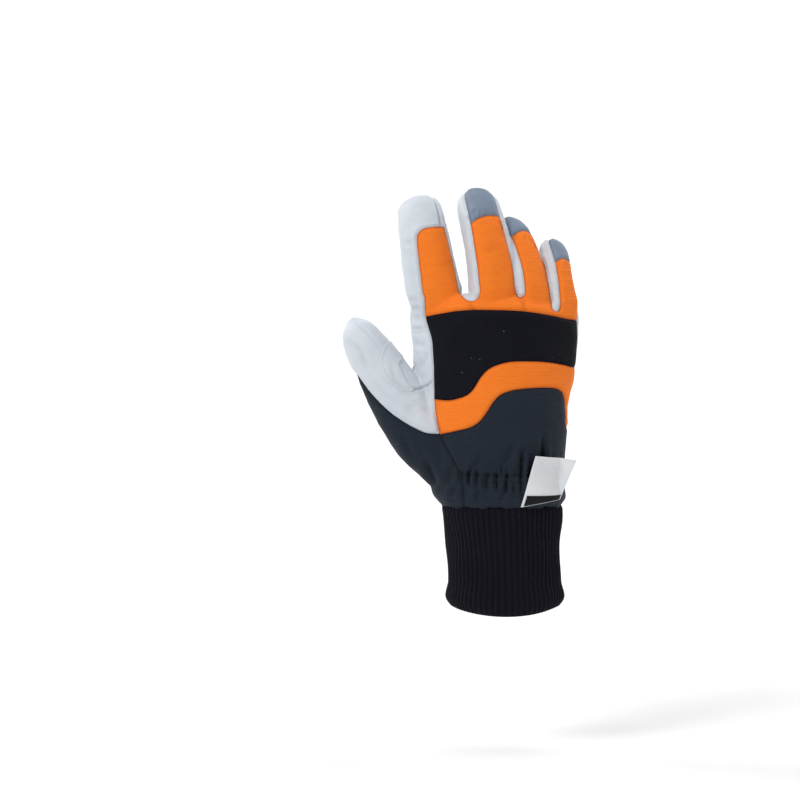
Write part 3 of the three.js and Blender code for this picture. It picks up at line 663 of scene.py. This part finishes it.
webs = {pair: outline_field(smooth_loop(outline), x, z) for pair, outline in WEBS.items()}
off_webs = -union(*webs.values()) - SEAM_GAP
half_left, half_right = both(BACK_HALF)
claim("knuckle_panel", np.minimum(off_webs, union(
    back_of(smooth(BAND_TOP)[::-1] + KNUCKLE_TOP),
    digit_field("index", BACK_START, INDEX_BACK_END, left=(-0.46, -0.24), right=(0.95, 0.95), low=0,
                high=1.7, left_corner=8, right_corner=1.5),
    *[digit_field(name, BACK_START, end - TIP_OVERLAP, half_left, half_right, 0, 1.7, end_arch=TIP_ARCH)
      for name, end in TIP_STARTS.items()],
)))
for name, start in TIP_STARTS.items():
    claim(name + "_tip", np.minimum(off_webs, digit_field(
        name, start - TIP_OVERLAP, PAST_TIP, half_left, half_right, 0, 1.9, start_arch=TIP_ARCH)))
claim("back_band", back_of(smooth(BAND_BOTTOM) + smooth(BAND_TOP)[::-1] + edge_between(0.55, 0.9)[::-1]))
claim("wave_band", back_of(smooth(WAVE_BOTTOM) + smooth(BAND_BOTTOM)[::-1] + edge_between(0.36, 0.5)[::-1]))
claim("wrist_back", back_of(smooth(WAVE_BOTTOM)[::-1] + smooth(GUSSET_SEAM)[1:] + [(0.56, -0.1)]))
front_left, front_right = both(FRONT_HALF)
for name in ("middle", "ring"):
    claim(name + "_front", digit_field(
        name, FRONT_START, PAST_TIP, front_left, front_right, -1.9, 0, start_arch=-5, left_corner=6,
        right_corner=6))
for pair, (across, up) in CROTCHES.items():
    left, right = pair.split("_")
    valley = in_mm([(across + aside, up + above) for aside, above in VALLEY])
    claim("fourchette_" + pair, union(
        np.minimum(webs[pair], seen_from_back(left, right)),
        np.minimum(outline_field(valley, x, z), mid_depth(across, up) + VALLEY_FLOOR - y),
        digit_field(left, -0.1, PAST_TIP, front_right, both(PAST_SIDE)[1], -SIDE_HALF, SIDE_HALF),
        digit_field(right, -0.1, PAST_TIP, both(PAST_SIDE)[0], front_left, -SIDE_HALF, SIDE_HALF),
    ))
claim("thumb_gusset", union(
    np.minimum(outline_field(in_mm(smooth(THUMB_SEAM) + smooth(GUSSET_SEAM)[1:] + [(-1.15, -0.1)]), x, z),
               THUMB_PLANE_Y + 0.3 - y),
    np.minimum(outline_field(in_mm(smooth(PALM_GUSSET_SEAM) + [(-1.15, -0.1)]), x, z),
               y - THUMB_PLANE_Y + 0.3),
))
thumb_outline = smooth(THUMB_SEAM) + edge_between(0.35, 0.59) + CROTCH_SEAM + [(-0.8, 1.0), (-1.15, 1.0)]
claim("thumb_back", np.minimum(
    outline_field(in_mm(thumb_outline), x, z),
    digit_field("thumb", 0.0, PAST_TIP, *both(2.4), low=0, high=3),
))
regions["palm_leather"] = remaining
remaining = above_cuff
claim("crotch_strap", union(
    back_of(smooth_loop(STRAP_BACK)),
    np.minimum(outline_field(in_mm(smooth_loop(STRAP_PALM)), x, z), y - ULNAR_SEAM_Y + 1),
))
claim("palm_patch", np.minimum(outline_field(in_mm(PATCH_OUTLINE), x, z), y - ULNAR_SEAM_Y - PATCH_INSET))


def main_body(triangles, total):
    """The triangles of the largest connected body."""
    label = np.arange(total)
    while True:
        lowest = label[triangles].min(axis=1)
        fresh = label.copy()
        for k in range(3):
            np.minimum.at(fresh, triangles[:, k], lowest)
        fresh = fresh[fresh]
        if (fresh == label).all():
            break
        label = fresh
    kinds, sizes = np.unique(label[triangles[:, 0]], return_counts=True)
    return triangles[label[triangles[:, 0]] == kinds[sizes.argmax()]]


def clipped(field, *carried):
    """The part of the skin where a field is positive, cut cleanly through its triangles."""
    field = np.where(np.abs(field) < SLIVER, SLIVER, field)
    inside = field > 0
    count = inside[faces].sum(axis=1)
    whole = faces[count == 3]
    cut = faces[(count == 1) | (count == 2)]
    lone = np.where(inside[cut].sum(axis=1) == 1, inside[cut].argmax(axis=1), (~inside[cut]).argmax(axis=1))
    rows = np.arange(len(cut))
    a, b, c = (cut[rows, (lone + k) % 3] for k in range(3))
    total = len(points)
    pairs = np.concatenate([np.minimum(a, b) * total + np.maximum(a, b),
                            np.minimum(a, c) * total + np.maximum(a, c)])
    keys, place = np.unique(pairs, return_inverse=True)
    start, end = keys // total, keys % total
    t = field[start] / (field[start] - field[end])
    ab, ac = total + place[: len(cut)], total + place[len(cut):]
    keep = inside[a]
    pieces = [
        whole,
        np.column_stack([a, ab, ac])[keep],
        np.column_stack([ab, b, c])[~keep],
        np.column_stack([ab, c, ac])[~keep],
    ]
    triangles = np.vstack(pieces)
    values = []
    for known in (points, field) + carried:
        share = t[:, None] if known.ndim > 1 else t
        values.append(np.concatenate([known, known[start] + (known[end] - known[start]) * share]))
    triangles = main_body(triangles, len(values[0]))
    used, compact = np.unique(triangles, return_inverse=True)
    return compact.reshape(-1, 3), [v[used] for v in values]


def keep_values(target, name, values):
    """Stores a number at each vertex, for the materials."""
    attribute = target.data.attributes.new(name, "FLOAT", "POINT")
    attribute.data.foreach_set("value", np.asarray(values, np.float32))


def panel(name, lift, thickness):
    """One piece of the pattern: cut from the skin, its edges turned in, and given its thickness."""
    triangles, (place, field, normal, folded) = clipped(regions[name], normals, crease)
    if name in LAYERS:
        roll = LAYER_ROLL
    else:
        roll = LEATHER_ROLL if name in ROLLED_LEATHER else CLOTH_ROLL
    crown, crown_place, crown_width, sunk, reach = roll
    swell = crown * hump(field - crown_place, crown_width) - sunk * hump(field, reach)
    place = place + normal * (lift + swell)[:, None]
    made = new_object(name + "_piece", place, triangles.tolist())
    # The seam distance and the crease depth are kept for the painted shade along seams and in creases.
    keep_values(made, "inset", field)
    keep_values(made, "folded", folded)
    modify(made, "SOLIDIFY", thickness=thickness * MM, offset=-1)
    bpy.ops.object.shade_smooth_by_angle(angle=math.radians(50))
    return made


pieces = {}
for name in regions:
    pieces[name] = panel(name, LAYER_LIFT, LAYER_THICKNESS) if name in LAYERS else panel(name, 0.0, WALL)
bpy.data.objects.remove(skin)


# Stitches: one bump of thread, copied along each row and laid on the skin
STITCH_PITCH = 2.1
STITCH_LONG = 0.72
STITCH_THICK = 0.25
STITCH_STAND = 0.05


def row_points(line):
    line = np.array(smooth(line, 8))
    lengths = np.concatenate([[0], np.cumsum(np.hypot(*np.diff(line, axis=0).T))])
    at = np.arange(STITCH_PITCH / 2, lengths[-1], STITCH_PITCH)
    return np.column_stack([np.interp(at, lengths, line[:, 0]), np.interp(at, lengths, line[:, 1])])


def laid_on_skin(x_mm, z_mm, side):
    """Place and normal of the skin behind a point of the view from one side."""
    start = Vector((x_mm * MM, side * 0.2, z_mm * MM))
    hit, normal, _, _ = tree.ray_cast(start, Vector((0, -side, 0)))
    return (np.array(hit) / MM, np.array(normal)) if hit is not None else None


def thread_bump():
    bpy.ops.mesh.primitive_uv_sphere_add(segments=6, ring_count=4, radius=1)
    bump = bpy.context.active_object
    shape, triangles = arrays(bump)
    bpy.data.objects.remove(bump)
    return shape * MM, triangles


def stitches(name, rows, side, lift):
    shape, triangles = thread_bump()
    all_points, all_faces = [], []
    for row in rows:
        laid = [laid_on_skin(px, pz, side) for px, pz in row_points(row)]
        for here, ahead in zip(laid[:-1], laid[1:]):
            if here is None or ahead is None:
                continue
            place, out = here
            along = ahead[0] - place
            if not 0.3 * STITCH_PITCH < np.linalg.norm(along) < 2.2 * STITCH_PITCH:
                continue
            along = along / np.linalg.norm(along)
            out = out / np.linalg.norm(out)
            turned = np.outer(shape[:, 2] * STITCH_LONG, along)
            turned = turned + np.outer(shape[:, 0] * STITCH_THICK, np.cross(out, along))
            turned = turned + np.outer(shape[:, 1] * STITCH_THICK, out)
            all_faces.append(triangles + len(all_points) * len(shape))
            all_points.append(place + out * (lift + STITCH_STAND) + turned)
    made = new_object(name, np.vstack(all_points), np.vstack(all_faces).tolist())
    choose(made)
    bpy.ops.object.shade_smooth()
    return made


sewing = {name: stitches(name, rows, side, lift) for name, (side, lift, rows) in SEWN_ROWS.items()}


# The ribbed cuff
CUFF_COLUMNS = ("up", "wide", "deep")
CUFF_SECTIONS = np.array([
    (0.0, 0.94, 0.94), (0.05, 1.0, 1.0), (0.3, 0.975, 0.97), (0.64, 0.99, 0.98), (0.85, 1.03, 1.0),
    (1.0, 1.05, 1.02),
])
RIB_HEIGHT = 0.95
RIB_SINK = 0.75
FACETS_PER_RIB = 6
HEM_ROLL = ((2.3, 0.75), (1.9, 0.3), (1.3, 0.08), (0.7, 0.12))  # inward, up
COLLAR = ((1.6, 1.2), (2.4, 3.0), (3.2, 3.4), (4.0, 2.8), (4.0, 0.0))  # inward, up


def cuff_ring(up, inward, ribbed=False):
    columns = RIB_COUNT * FACETS_PER_RIB
    angle = np.linspace(0, 2 * math.pi, columns, endpoint=False)
    c, s = oval(columns, DIGIT_SQUARENESS)
    rib = np.abs(np.cos(angle * RIB_COUNT / 2)) ** 0.7 * RIB_HEIGHT - RIB_SINK
    slack = 0.45 * np.sin(3 * angle + 9 * up) + 0.3 * np.sin(5 * angle - 13 * up + 1)
    seam_pinch = 1.5 * math.exp(-(((1 - up) / 0.022) ** 2))
    out = -inward + (rib if ribbed else 0) + slack - seam_pinch
    seam_x = (HAND_SECTIONS[0, 1] + HAND_SECTIONS[0, 2]) / 2 * PALM_WIDTH
    wide = follow(CUFF_SECTIONS, CUFF_COLUMNS, "wide", up) * CUFF_WIDTH / 2
    deep = follow(CUFF_SECTIONS, CUFF_COLUMNS, "deep", up) * CUFF_DEPTH / 2
    x_mm = seam_x * up * up + (wide + out) * c
    rise = HEM_RISE * c * c * max(0, 1 - up * 3)
    z_mm = up * (CUFF_LENGTH - 0.3) + rise - seam_drop(c, s) * up * up
    return np.column_stack([x_mm, (deep + out) * s, z_mm])


def knit_cuff():
    """A loop of rings: down the inner wall, round the hem, up the ribs and into the glove."""
    inner = [cuff_ring(up, CUFF_WALL) for up in (0.9, 0.75, 0.6, 0.4, 0.2, 0.06, 0.02)]
    hem = [cuff_ring(0.0, inward) + [0, 0, up] for inward, up in HEM_ROLL]
    rises = np.concatenate([[0.004, 0.012, 0.024], np.linspace(0.045, 1.0, 40)])
    outer = [cuff_ring(up, 0, ribbed=True) for up in rises]
    collar = [cuff_ring(1.0, inward) + [0, 0, up] for inward, up in COLLAR]
    rings = inner + hem + outer + collar
    columns = len(rings[0])
    made = new_object("knit_cuff_piece", np.vstack(rings), between_rings(columns, len(rings), joined=True))
    choose(made)
    bpy.ops.object.mode_set(mode="EDIT")
    bpy.ops.mesh.select_all(action="SELECT")
    bpy.ops.mesh.normals_make_consistent(inside=False)
    bpy.ops.object.mode_set(mode="OBJECT")
    keep_values(made, "wale", np.tile(np.arange(columns) / FACETS_PER_RIB, len(rings)))
    bpy.ops.object.shade_smooth()
    return made


pieces["knit_cuff"] = knit_cuff()


# The care label, sewn into the cuff seam, and the dark strip at its foot
LABEL_CORNERS = {"bottom_left": (0.085, -0.005), "bottom_right": (0.319, 0.028),
                 "top_left": (0.171, 0.245), "top_right": (0.416, 0.219)}
STRIP_TOP = (0.235, 0.12)


def back_y(x_mm, z_mm):
    """The back of the hand at points of the front view."""
    up = (z_mm - CUFF_LENGTH) / HAND_LENGTH
    middle, half = hand_span(up, PALM_WIDTH)
    u = np.minimum(0.9, np.abs(x_mm - middle) / half)
    bulge = hand_value("depth", up) / 2 * (1 - u**HAND_SQUARENESS) ** (1 / HAND_SQUARENESS)
    return (hand_value("middle", up) + hand_value("arch", up) * u * u - bulge) * PALM_DEPTH


def label_corner(h, v, k):
    """One coordinate of a point of the label, from its share across and its share up."""
    bottom = lerp(LABEL_CORNERS["bottom_left"][k], LABEL_CORNERS["bottom_right"][k], h)
    return lerp(bottom, lerp(LABEL_CORNERS["top_left"][k], LABEL_CORNERS["top_right"][k], h), v)


def label_sheet(name, foot, left_top, right_top, stand, inset, thickness):
    """A ribbon's curved sheet between the label's corners, standing off the wrist."""
    columns, rows = 22, 26
    across, up = np.meshgrid(np.linspace(inset, 1 - inset / 3, columns), np.linspace(0, 1, rows))
    h = across.ravel()
    v = foot + (lerp(left_top, right_top, h) - foot) * up.ravel()
    x_mm = label_corner(h, v, 0) * PALM_WIDTH
    z_mm = CUFF_LENGTH + label_corner(h, v, 1) * HAND_LENGTH
    ripple = 0.5 * np.sin(5.2 * h + 2.5 * v) * v + 0.35 * np.sin(9 * v - 4 * h) * v
    y_mm = back_y(x_mm, z_mm) - stand - 3.5 * v * v - ripple
    quads = [(i * columns + j, i * columns + j + 1, (i + 1) * columns + j + 1, (i + 1) * columns + j)
             for i in range(rows - 1) for j in range(columns - 1)]
    made = new_object(name, np.column_stack([x_mm, y_mm, z_mm]), quads)
    modify(made, "SOLIDIFY", thickness=thickness * MM, offset=-1)
    modify(made, "BEVEL", width=0.12 * MM, segments=2, limit_method="ANGLE")
    bpy.ops.object.shade_smooth_by_angle(angle=math.radians(40))
    return made


pieces["care_label"] = label_sheet("care_label_piece", 0.0, 1.0, 1.0, stand=1.9, inset=0, thickness=0.5)
pieces["label_strip"] = label_sheet("label_strip_piece", 0.01, *STRIP_TOP, stand=2.4, inset=0.07,
                                    thickness=0.35)


# Materials
class Value:
    """A shader socket that takes part in Python expressions."""

    def __init__(self, tree, socket):
        self.tree = tree
        self.socket = socket

    def _math(self, operation, *others):
        node = self.tree.nodes.new("ShaderNodeMath")
        node.operation = operation
        for place, value in enumerate((self, *others)):
            if isinstance(value, Value):
                self.tree.links.new(value.socket, node.inputs[place])
            else:
                node.inputs[place].default_value = value
        return Value(self.tree, node.outputs[0])

    def __add__(self, other):
        return self._math("ADD", other)

    def __radd__(self, other):
        return self._math("ADD", other)

    def __sub__(self, other):
        return self._math("SUBTRACT", other)

    def __rsub__(self, other):
        return (self * -1.0) + other

    def __mul__(self, other):
        return self._math("MULTIPLY", other)

    def __rmul__(self, other):
        return self._math("MULTIPLY", other)

    def __truediv__(self, other):
        return self._math("DIVIDE", other)

    def sine(self):
        return self._math("SINE")

    def absolute(self):
        return self._math("ABSOLUTE")

    def above(self, threshold):
        return self._math("GREATER_THAN", threshold)

    def clamped(self, low=0.0, high=1.0):
        return self._math("MAXIMUM", low)._math("MINIMUM", high)


class Finish:
    """A material under construction."""

    def __init__(self, name):
        self.material = bpy.data.materials.new(name)
        self.material.use_nodes = True
        self.tree = self.material.node_tree
        self.shader = self.tree.nodes["Principled BSDF"]

    def feed(self, socket, value):
        """Links a value to a socket, or sets a number or a colour on it."""
        if isinstance(value, Value):
            self.tree.links.new(value.socket, socket)
        elif isinstance(value, tuple):
            socket.default_value = (*value, 1)
        else:
            socket.default_value = value

    def node(self, kind, settings=None, **inputs):
        made = self.tree.nodes.new(kind)
        for key, value in (settings or {}).items():
            setattr(made, key, value)
        for key, value in inputs.items():
            self.feed(made.inputs[key], value)
        return made

    def out(self, made, name):
        return Value(self.tree, made.outputs[name])

    def place(self):
        return self.out(self.node("ShaderNodeTexCoord"), "Object")

    def axis(self, name):
        return self.out(self.node("ShaderNodeSeparateXYZ", Vector=self.place()), name)

    def attribute(self, name):
        return self.out(self.node("ShaderNodeAttribute", {"attribute_name": name}), "Fac")

    # Mask for painted shade in the creases: it grows with how deep the skin was pressed in there.
    def crease_shade(self, strength):
        return (self.attribute("folded") * strength).clamped()

    def edge(self, reach):
        """A mask for painted shade at the seams: one at a panel's seam, nothing from so many millimetres
        in.
        """
        return (1.0 - self.attribute("inset") / reach).clamped()

    def waves(self, along, pitch):
        """A wave from -1 to 1 along a distance, at a pitch in millimetres."""
        return (along * (2 * math.pi / (pitch * MM))).sine()

    def noise(self, scale, detail=2.0):
        made = self.node("ShaderNodeTexNoise", Vector=self.place(), Scale=scale, Detail=detail)
        return self.out(made, "Fac")

    def cells(self, scale):
        return self.out(self.node("ShaderNodeTexVoronoi", Vector=self.place(), Scale=scale), "Distance")

    def mix(self, mask, first, second):
        made = self.node("ShaderNodeMix", {"data_type": "RGBA"}, Factor=mask)
        self.feed(made.inputs[6], first)
        self.feed(made.inputs[7], second)
        return Value(self.tree, made.outputs[2])

    def bump(self, height, distance, strength):
        made = self.node("ShaderNodeBump", Height=height, Distance=distance, Strength=strength)
        self.set("Normal", self.out(made, "Normal"))

    def set(self, name, value):
        self.feed(self.shader.inputs[name], value)


def leather():
    finish = Finish("white_grain_leather")
    patches = finish.noise(38, 3)
    fine = finish.noise(320)
    base = finish.mix(patches, (0.55, 0.605, 0.665), (0.675, 0.72, 0.77))
    soiled = finish.mix((fine * 0.22).clamped(), base, (0.46, 0.48, 0.50))
    # Painted shade: the leather is darkened in its creases and along its seams.
    shaded = finish.mix(finish.crease_shade(0.75) * 0.45, soiled, (0.42, 0.44, 0.47))
    finish.set("Base Color", finish.mix(finish.edge(1.1) * 0.12, shaded, (0.45, 0.48, 0.52)))
    finish.set("Roughness", patches * 0.16 + 0.46)
    grain = finish.cells(950) * 0.55 + finish.noise(1500, 3) * 0.5 + finish.noise(240, 3) * 0.9
    finish.bump(grain, distance=0.00025, strength=0.75)
    finish.set("Specular IOR Level", 0.42)
    return finish.material


def ribbed_cloth(name, dark, light, shade_colour):
    """Stretch cloth with fine ribs across the hand."""
    finish = Finish(name)
    waver = finish.noise(55) * 0.0011
    ribs = finish.waves(finish.axis("Z") + waver, 1.15) * 0.5 + 0.5
    threads = finish.waves(finish.axis("X") + finish.axis("Y") * 0.6, 0.8) * 0.5 + 0.5
    mottle = finish.noise(70, 3)
    colour = finish.mix((ribs * 0.5 + threads * 0.3 + mottle * 0.35).clamped(), dark, light)
    # Painted shade: the cloth is darkened in its creases and along its seams.
    colour = finish.mix(finish.crease_shade(0.8) * 0.6, colour, shade_colour)
    finish.set("Base Color", finish.mix(finish.edge(1.4) * 0.55, colour, shade_colour))
    finish.set("Roughness", mottle * 0.1 + 0.78)
    finish.bump(ribs + threads * 0.25 + finish.noise(900) * 0.3, distance=0.00026, strength=0.8)
    finish.set("Sheen Weight", 0.06)
    finish.set("Specular IOR Level", 0.18)
    return finish.material


def plain_cloth():
    """Black band: close weave with a little lint on it."""
    finish = Finish("black_band_cloth")
    mottle = finish.noise(60, 3)
    colour = finish.mix(mottle, (0.002, 0.0025, 0.005), (0.006, 0.0065, 0.012))
    lint = (0.055 - finish.cells(150)).above(0.0) * finish.noise(36, 1).above(0.56)
    # Painted shade: darker along the seams.
    colour = finish.mix(finish.edge(1.2) * 0.5, colour, (0.002, 0.002, 0.004))
    finish.set("Base Color", finish.mix(lint * 0.55, colour, (0.25, 0.26, 0.3)))
    finish.set("Roughness", mottle * 0.1 + 0.8)
    weave = finish.waves(finish.axis("Z"), 0.9) * 0.5
    finish.bump(weave + finish.noise(1100), distance=0.00015, strength=0.7)
    finish.set("Sheen Weight", 0.03)
    finish.set("Specular IOR Level", 0.12)
    return finish.material


def reflective_cloth():
    finish = Finish("reflective_fingertip_cloth")
    mottle = finish.noise(90, 3)
    beads = finish.noise(2600, 1)
    colour = finish.mix(mottle, (0.155, 0.2, 0.27), (0.225, 0.285, 0.375))
    # Painted shade: darker along the seams.
    finish.set("Base Color", finish.mix(finish.edge(1.3) * 0.5, colour, (0.09, 0.11, 0.14)))
    finish.set("Roughness", mottle * 0.12 + 0.56)
    finish.set("Metallic", 0.1)
    finish.bump(beads + finish.noise(300) * 0.8, distance=0.00012, strength=0.6)
    return finish.material


def rib_knit():
    finish = Finish("black_rib_knit")
    cross = (finish.attribute("wale") * math.pi).sine().absolute()
    course = finish.waves(finish.axis("Z") + cross * 0.0005, 1.15) * 0.5 + 0.5
    mottle = finish.noise(45, 3)
    # Painted shade: darker in the hollows between the ribs and lighter on their ridges.
    colour = finish.mix((1.0 - cross) * 0.8, (0.002, 0.002, 0.005), (0.006, 0.006, 0.012))
    finish.set("Base Color", finish.mix(mottle * 0.35, colour, (0.009, 0.009, 0.016)))
    finish.set("Roughness", 0.9)
    finish.bump(course * 0.7 + finish.noise(1300) * 0.6, distance=0.00025, strength=0.8)
    finish.set("Sheen Weight", 0.04)
    finish.set("Specular IOR Level", 0.12)
    return finish.material


def ribbon(name, dark, light):
    finish = Finish(name)
    weave = finish.waves(finish.axis("Z"), 0.5) * 0.5
    finish.set("Base Color", finish.mix(finish.noise(120), dark, light))
    finish.set("Roughness", 0.68)
    finish.set("Specular IOR Level", 0.22)
    finish.bump(weave + finish.noise(900), distance=0.00006, strength=0.5)
    return finish.material


def thread():
    finish = Finish("white_thread_shaded_grey")
    # The white thread is painted grey, as painted shade for the stitch holes along each row, so the rows
    # show on the white leather.
    finish.set("Base Color", finish.mix(finish.noise(900, 1), (0.36, 0.38, 0.41), (0.5, 0.52, 0.55)))
    finish.set("Roughness", 0.6)
    finish.bump(finish.noise(3000, 1), distance=0.00008, strength=0.5)
    return finish.material


finishes = {
    "white_leather": leather(),
    # The last colour given to each ribbed cloth is its painted shade for creases and seams.
    "orange_fabric": ribbed_cloth("orange_ribbed_cloth", (0.9, 0.15, 0.007), (1.0, 0.262, 0.026),
                                  (0.42, 0.05, 0.004)),
    "navy_fabric": ribbed_cloth("navy_ribbed_cloth", (0.004, 0.007, 0.014), (0.018, 0.027, 0.042),
                                (0.002, 0.003, 0.005)),
    "black_fabric": plain_cloth(),
    "reflective_grey": reflective_cloth(),
    "black_knit": rib_knit(),
    "label_white": ribbon("white_ribbon", (0.70, 0.72, 0.75), (0.80, 0.82, 0.84)),
    "label_black": ribbon("black_ribbon", (0.002, 0.002, 0.004), (0.006, 0.006, 0.009)),
}
thread_finish = thread()
slots = {part["node"]: part["material_slot"] for part in frame["record"]["subparts"]}
for node, piece in pieces.items():
    piece.data.materials.append(finishes[slots[node]])
    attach(piece, "root")
    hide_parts(node)
for piece in sewing.values():
    piece.data.materials.append(thread_finish)
    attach(piece, "root")


# Studio: one sweep of pale paper, soft lights and the camera
def paper():
    finish = Finish("pale_paper")
    finish.set("Base Color", (0.9, 0.9, 0.9))
    finish.set("Roughness", 0.9)
    return finish.material


SWEEP_FLOOR = -90
SWEEP_RADIUS = 800
SWEEP_BACK = 1900
SWEEP_HALF = 4000
bend_start = SWEEP_BACK - SWEEP_RADIUS
profile = [(-3000, SWEEP_FLOOR)]
for turn in np.linspace(0, math.pi / 2, 16):
    rise = SWEEP_RADIUS * (1 - math.cos(turn))
    profile.append((bend_start + SWEEP_RADIUS * math.sin(turn), SWEEP_FLOOR + rise))
profile.append((SWEEP_BACK, 4000))
sweep_points = [(side, py, pz) for py, pz in profile for side in (-SWEEP_HALF, SWEEP_HALF)]
sweep_faces = [(2 * i, 2 * i + 1, 2 * i + 3, 2 * i + 2) for i in range(len(profile) - 1)]
sweep = new_object("studio_sweep", sweep_points, sweep_faces)
sweep.data.materials.append(paper())
choose(sweep)
bpy.ops.object.shade_smooth()

middle_of_view = Vector((-0.06825, 0, 0.1391))


def soft_light(name, place, size, power, colour=(1, 1, 1), aim=middle_of_view):
    light = bpy.data.lights.new(name, "AREA")
    light.shape = "DISK"
    light.size = size
    light.energy = power
    light.color = colour
    holder = bpy.data.objects.new(name, light)
    bpy.context.collection.objects.link(holder)
    holder.location = place
    holder.rotation_euler = (Vector(aim) - Vector(place)).to_track_quat("-Z", "Y").to_euler()


soft_light("key", (-1.2, -1.3, 1.6), 0.8, 25)
soft_light("fill", (1.6, -1.3, 0.4), 1.6, 5, (0.96, 0.98, 1.0))
soft_light("top", (0.0, 0.1, 1.9), 1.0, 7)
soft_light("rear", (0.4, 1.2, 0.9), 1.2, 1.5)
soft_light("paper_left", (-1.6, 0.8, 1.2), 0.9, 16, aim=(0.2, 1.9, 0.2))
soft_light("paper_right", (1.6, 0.8, 1.2), 0.9, 16, aim=(-0.2, 1.9, 0.2))

world = bpy.data.worlds.new("studio_air")
world.use_nodes = True
air = world.node_tree.nodes["Background"].inputs
air["Color"].default_value = (1, 1, 1, 1)
air["Strength"].default_value = 0.34
bpy.context.scene.world = world
bpy.context.scene.view_settings.view_transform = "Standard"

elevation = math.radians(3)
distance = 2.0
view_width = 0.52
camera = bpy.data.cameras.new("photo_camera")
camera.lens = camera.sensor_width * distance / view_width
camera.clip_end = 20
view = bpy.data.objects.new("photo_camera", camera)
bpy.context.collection.objects.link(view)
view.location = middle_of_view + Vector((0, -math.cos(elevation), math.sin(elevation))) * distance
view.rotation_euler = (math.pi / 2 - elevation, 0, 0)
bpy.context.scene.camera = view
